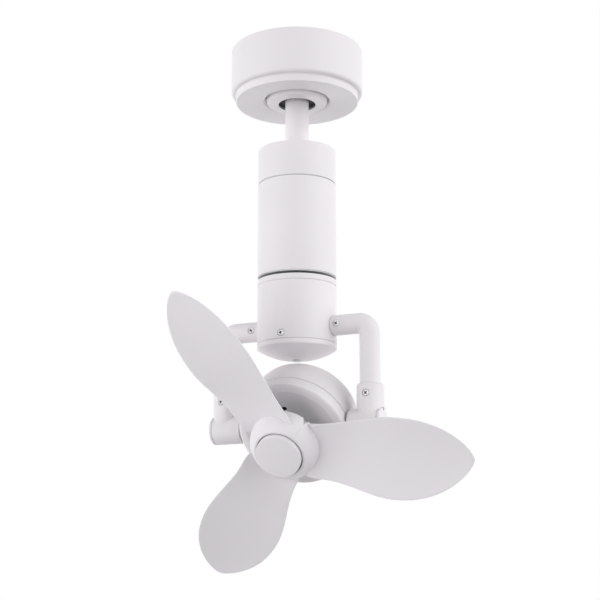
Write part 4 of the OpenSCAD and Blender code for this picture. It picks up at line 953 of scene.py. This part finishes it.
# %% One blade
SPAN, ACROSS = 72, 28
TIP_STOP = 0.15  # stops short of the tip, where the width is none
clear_selection()
bpy.ops.mesh.primitive_grid_add(x_subdivisions=SPAN, y_subdivisions=ACROSS, size=2)
leaf = bpy.context.object
leaf.name = "leaf"
full = leaf.vertex_groups.new(name="full")
for v in leaf.data.vertices:
    share = (v.co.x + 1) / 2
    across = v.co.y
    u = ROOT_U + (TIP_R - TIP_STOP - ROOT_U) * (1 - (1 - share) ** 1.6)
    width = chord(u)
    raised = flare(u, across)
    flat = across * width / 2 + SPREAD * raised
    hollow = -HOLLOW * width * (1 - across * across)
    v.co = Vector((u, -2.2 + flat * math.cos(PITCH) + hollow * math.sin(PITCH),
                   middle(u) - flat * math.sin(PITCH) + hollow * math.cos(PITCH)
                   + LIFT * raised)) * MM
    full.add([v.index], min(1.0, width / 12) * (0.38 + 0.62 * (1 - across * across)), "REPLACE")
bpy.ops.object.mode_set(mode="EDIT")
bpy.ops.mesh.select_all(action="SELECT")
bpy.ops.mesh.normals_make_consistent(inside=False)
bpy.ops.object.mode_set(mode="OBJECT")
skin_step = leaf.modifiers.new("thickness", "SOLIDIFY")
skin_step.thickness = 3.2 * MM
skin_step.offset = 0
skin_step.vertex_group = "full"
bpy.ops.object.modifier_apply(modifier=skin_step.name)
edge_step = leaf.modifiers.new("edge", "BEVEL")
edge_step.width = 0.4 * MM
edge_step.segments = 2
edge_step.limit_method = "ANGLE"
edge_step.angle_limit = math.radians(60)
bpy.ops.object.modifier_apply(modifier=edge_step.name)
print("leaf faces", len(leaf.data.polygons))

# %% [markdown]
# ## The hub's cone
# Each blade carries a third of the hub, so it comes off with its own sector. A whole cone is
# turned, slightly swollen, and bisect keeps one third and fills its cuts. A four-sided cone cut
# out at each seam then leaves half of the V groove that two neighbours share, and a soft bevel
# makes the seams catch the light as moulded edges do.

# %% Hub sector
SEAM_SHIFT = 11  # the seams' turn from midway between two blades
cap_hole = 25.6  # opening for the centre cap
hub_back, hub_front = 32.3, 58.5
hub_out, hub_full, hub_in = 38.5, 39.1, 28.0  # radii at the back edge, the fullest and the front
full_z = hub_back + 3.5
plate_hole, hub_bore = 12, 34.5
hub_floor, cap_seat = hub_back + 3, hub_front - 4
SEAM_PLAY = 0.04


def cut_at_seam(side, play=0.0):
    """Bisects the mesh in edit mode at the leading (1) or trailing (-1) seam of a sector."""
    a = math.radians(60 * side - SEAM_SHIFT)
    normal = (-math.sin(a) * side, math.cos(a) * side, 0)
    bpy.ops.mesh.select_all(action="SELECT")
    bpy.ops.mesh.bisect(plane_co=tuple(-play * MM * c for c in normal), plane_no=normal,
                        use_fill=True, clear_outer=True, clear_inner=False)


cone = [(hub_in + (hub_full - hub_in) * (1 - share ** 2.2), full_z + (hub_front - full_z) * share)
        for share in shares(8)]
sector = turned("sector", eased(
    [(plate_hole, hub_back), (hub_out, hub_back)] + cone
    + [(cap_hole, hub_front), (cap_hole, cap_seat), (hub_bore, hub_floor),
       (plate_hole, hub_floor)], 0.9, 4))
pick(sector)
bpy.ops.object.mode_set(mode="EDIT")
for side in (1, -1):
    cut_at_seam(side, SEAM_PLAY)
bpy.ops.object.mode_set(mode="OBJECT")
print("sector faces", len(sector.data.polygons))

# %% V grooves and soft edges
groove_r, groove_len, groove_open = 5, 14, 1.35  # the wedge's radius and length, and its stretch
for side in (1, -1):
    clear_selection()
    bpy.ops.mesh.primitive_cone_add(vertices=4, radius1=groove_r * MM, radius2=0,
                                    depth=groove_len * MM)
    wedge = bpy.context.object
    bpy.ops.object.mode_set(mode="EDIT")
    bpy.ops.mesh.select_all(action="SELECT")
    bpy.ops.transform.resize(value=(groove_open, 1, 1))
    bpy.ops.object.mode_set(mode="OBJECT")
    seam_spot = (Matrix.Rotation(math.radians(60 * side - SEAM_SHIFT), 4, "Z")
                 @ Matrix.Translation(((hub_out + 1.5) * MM, 0, (hub_back + 6.4) * MM)))
    cut(sector, placed(wedge, seam_spot))
soften = sector.modifiers.new("soft_edge", "BEVEL")
soften.width = 0.5 * MM
soften.segments = 3
soften.limit_method = "ANGLE"
soften.angle_limit = math.radians(40)
pick(sector)
bpy.ops.object.modifier_apply(modifier=soften.name)

# %% Join the leaf and its sector
plate_screw_ring = 18
pick(leaf)
bpy.ops.object.mode_set(mode="EDIT")
cut_at_seam(1)
bpy.ops.object.mode_set(mode="OBJECT")
join(leaf, sector)
core = turned("core", [(0, hub_floor), (hub_bore, hub_floor), (cap_hole, cap_seat), (cap_hole, 90),
                       (0, 90)])
cut(leaf, core)
for turn in (-30, 30):
    hole = outward(turn) * plate_screw_ring
    cut(leaf, rod_tool(screw_bore, (hole.x, hole.y, hub_back - 1), (0, 0, 1), 6, 32))

# %% Three blades round the shaft
BLADES, FIRST_BLADE = 3, 113  # the first blade's turn about the shaft
for k in range(BLADES):
    about_shaft = Matrix.Rotation(math.radians(FIRST_BLADE + 360 / BLADES * k), 4, "Z")
    blade = copied(leaf, "blade_leaf_%d" % (k + 1), head @ about_shaft)
    dressed(blade, "rotor", "white_plastic", ["blade_%d" % (k + 1)], angle=40)
bpy.data.objects.remove(leaf)

# %% [markdown]
# ## Centre cap
# A round cap closes the hub and hides the shaft's nut. It is turned with a hardly crowned face,
# because a dead flat one would show one even tone in place of a soft shade.

# %% Centre cap
cap_r, cap_face, crown_rise = 24.6, 63.9, 1.1
crown = [(cap_r * share, cap_face - crown_rise * share ** 2) for share in shares(10)[::-1]]
centre_cap = turned("centre_cap_round", eased(
    [(cap_r - 2, hub_floor), (cap_r, hub_floor)] + crown
    + [(0, cap_face - 4), (cap_r - 4, cap_face - 6), (cap_r - 2, cap_face - 8)], 0.9, 5))
placed(centre_cap, head)
dressed(centre_cap, "rotor", "white_plastic", ["centre_cap"])

# %% [markdown]
# ## Screws
# A pan head screw is turned with a domed head and gets a tapered cross from two crossed blocks. The
# faces inside the cross are marked with the attribute that the finish reads, and there the finish
# paints shade. The screw is modelled once, and each place has its own copy, spun by its own angle as a
# real driver leaves it.

# %% One screw
screw = turned("screw", eased([
    (0, -4), (1.6, -4), (1.6, 0), (3.5, 0), (3.5, 0.9), (2.7, 1.7), (1.2, 2.0), (0, 2.0)],
    0.35), 48)
bit_z = 1.4
for turn in (0, 90):
    bit = block_tool((4.6, 1.3, 2.6), (0, 0, bit_z))
    bpy.ops.object.mode_set(mode="EDIT")
    bpy.ops.mesh.select_all(action="DESELECT")
    bpy.ops.object.mode_set(mode="OBJECT")
    for v in bit.data.vertices:
        v.select = v.co.z < bit_z * MM
    bpy.ops.object.mode_set(mode="EDIT")
    bpy.ops.transform.resize(value=(0.45, 0.7, 1), center_override=(0, 0, 0.1 * MM))
    bpy.ops.object.mode_set(mode="OBJECT")
    cut(screw, placed(bit, Matrix.Rotation(math.radians(turn), 4, "Z")))

# %% Mark the cross
# the cross attribute marks the faces where the screw finish paints shade
cross = screw.data.attributes.new("cross", "FLOAT", "FACE")
for side_face in screw.data.polygons:
    centre = side_face.center / MM
    off_axis = math.hypot(centre.x, centre.y)
    flank = off_axis < 2.3 and 0 < centre.z < 1.9 and side_face.normal.z < 0.7
    bottom = off_axis < 1.6 and 0 < centre.z < 1.0
    cross.data[side_face.index].value = 1.0 if flank or bottom else 0.0
print("dark faces in the cross:", sum(1 for c in cross.data if c.value > 0.5))


# %% Screws in their places
def screw_at(name, place, way, spin, body, stands_for=()):
    """A copy of the screw at a place in mm, that faces a way and is spun by an angle in degrees."""
    facing = Vector(way).to_track_quat("Z", "Y").to_matrix().to_4x4()
    twist = Matrix.Rotation(math.radians(spin), 4, "Z")
    piece = copied(screw, name, Matrix.Translation(Vector(place) * MM) @ facing @ twist)
    dressed(piece, body, "bright_screw", stands_for)


for k, turn in enumerate(CAP_SCREW_TURNS):
    way = outward(turn)
    screw_at("cap_screw_%d" % (k + 1), way * seat_y + Vector((0, 0, screw_z)), way, 20 + 25 * k,
             "carrier", ["cap_screws"] if k == 0 else ())
for k, side in enumerate((-1, 1)):
    screw_at("arm_screw_%d" % (k + 1), (side * arm_screw_x, -arm_r + seat_depth, arm_z), (0, -1, 0),
             12 + 40 * k, "carrier", ["yoke_screws"] if k == 0 else ())
    screw_at("tee_screw_%d" % (k + 1), (side * arm_x, tee_screw_y, tee_screw_z), (0, -1, 0),
             5 + 35 * k, "carrier")
bpy.data.objects.remove(screw)

# %% Leave nothing selected
clear_selection()
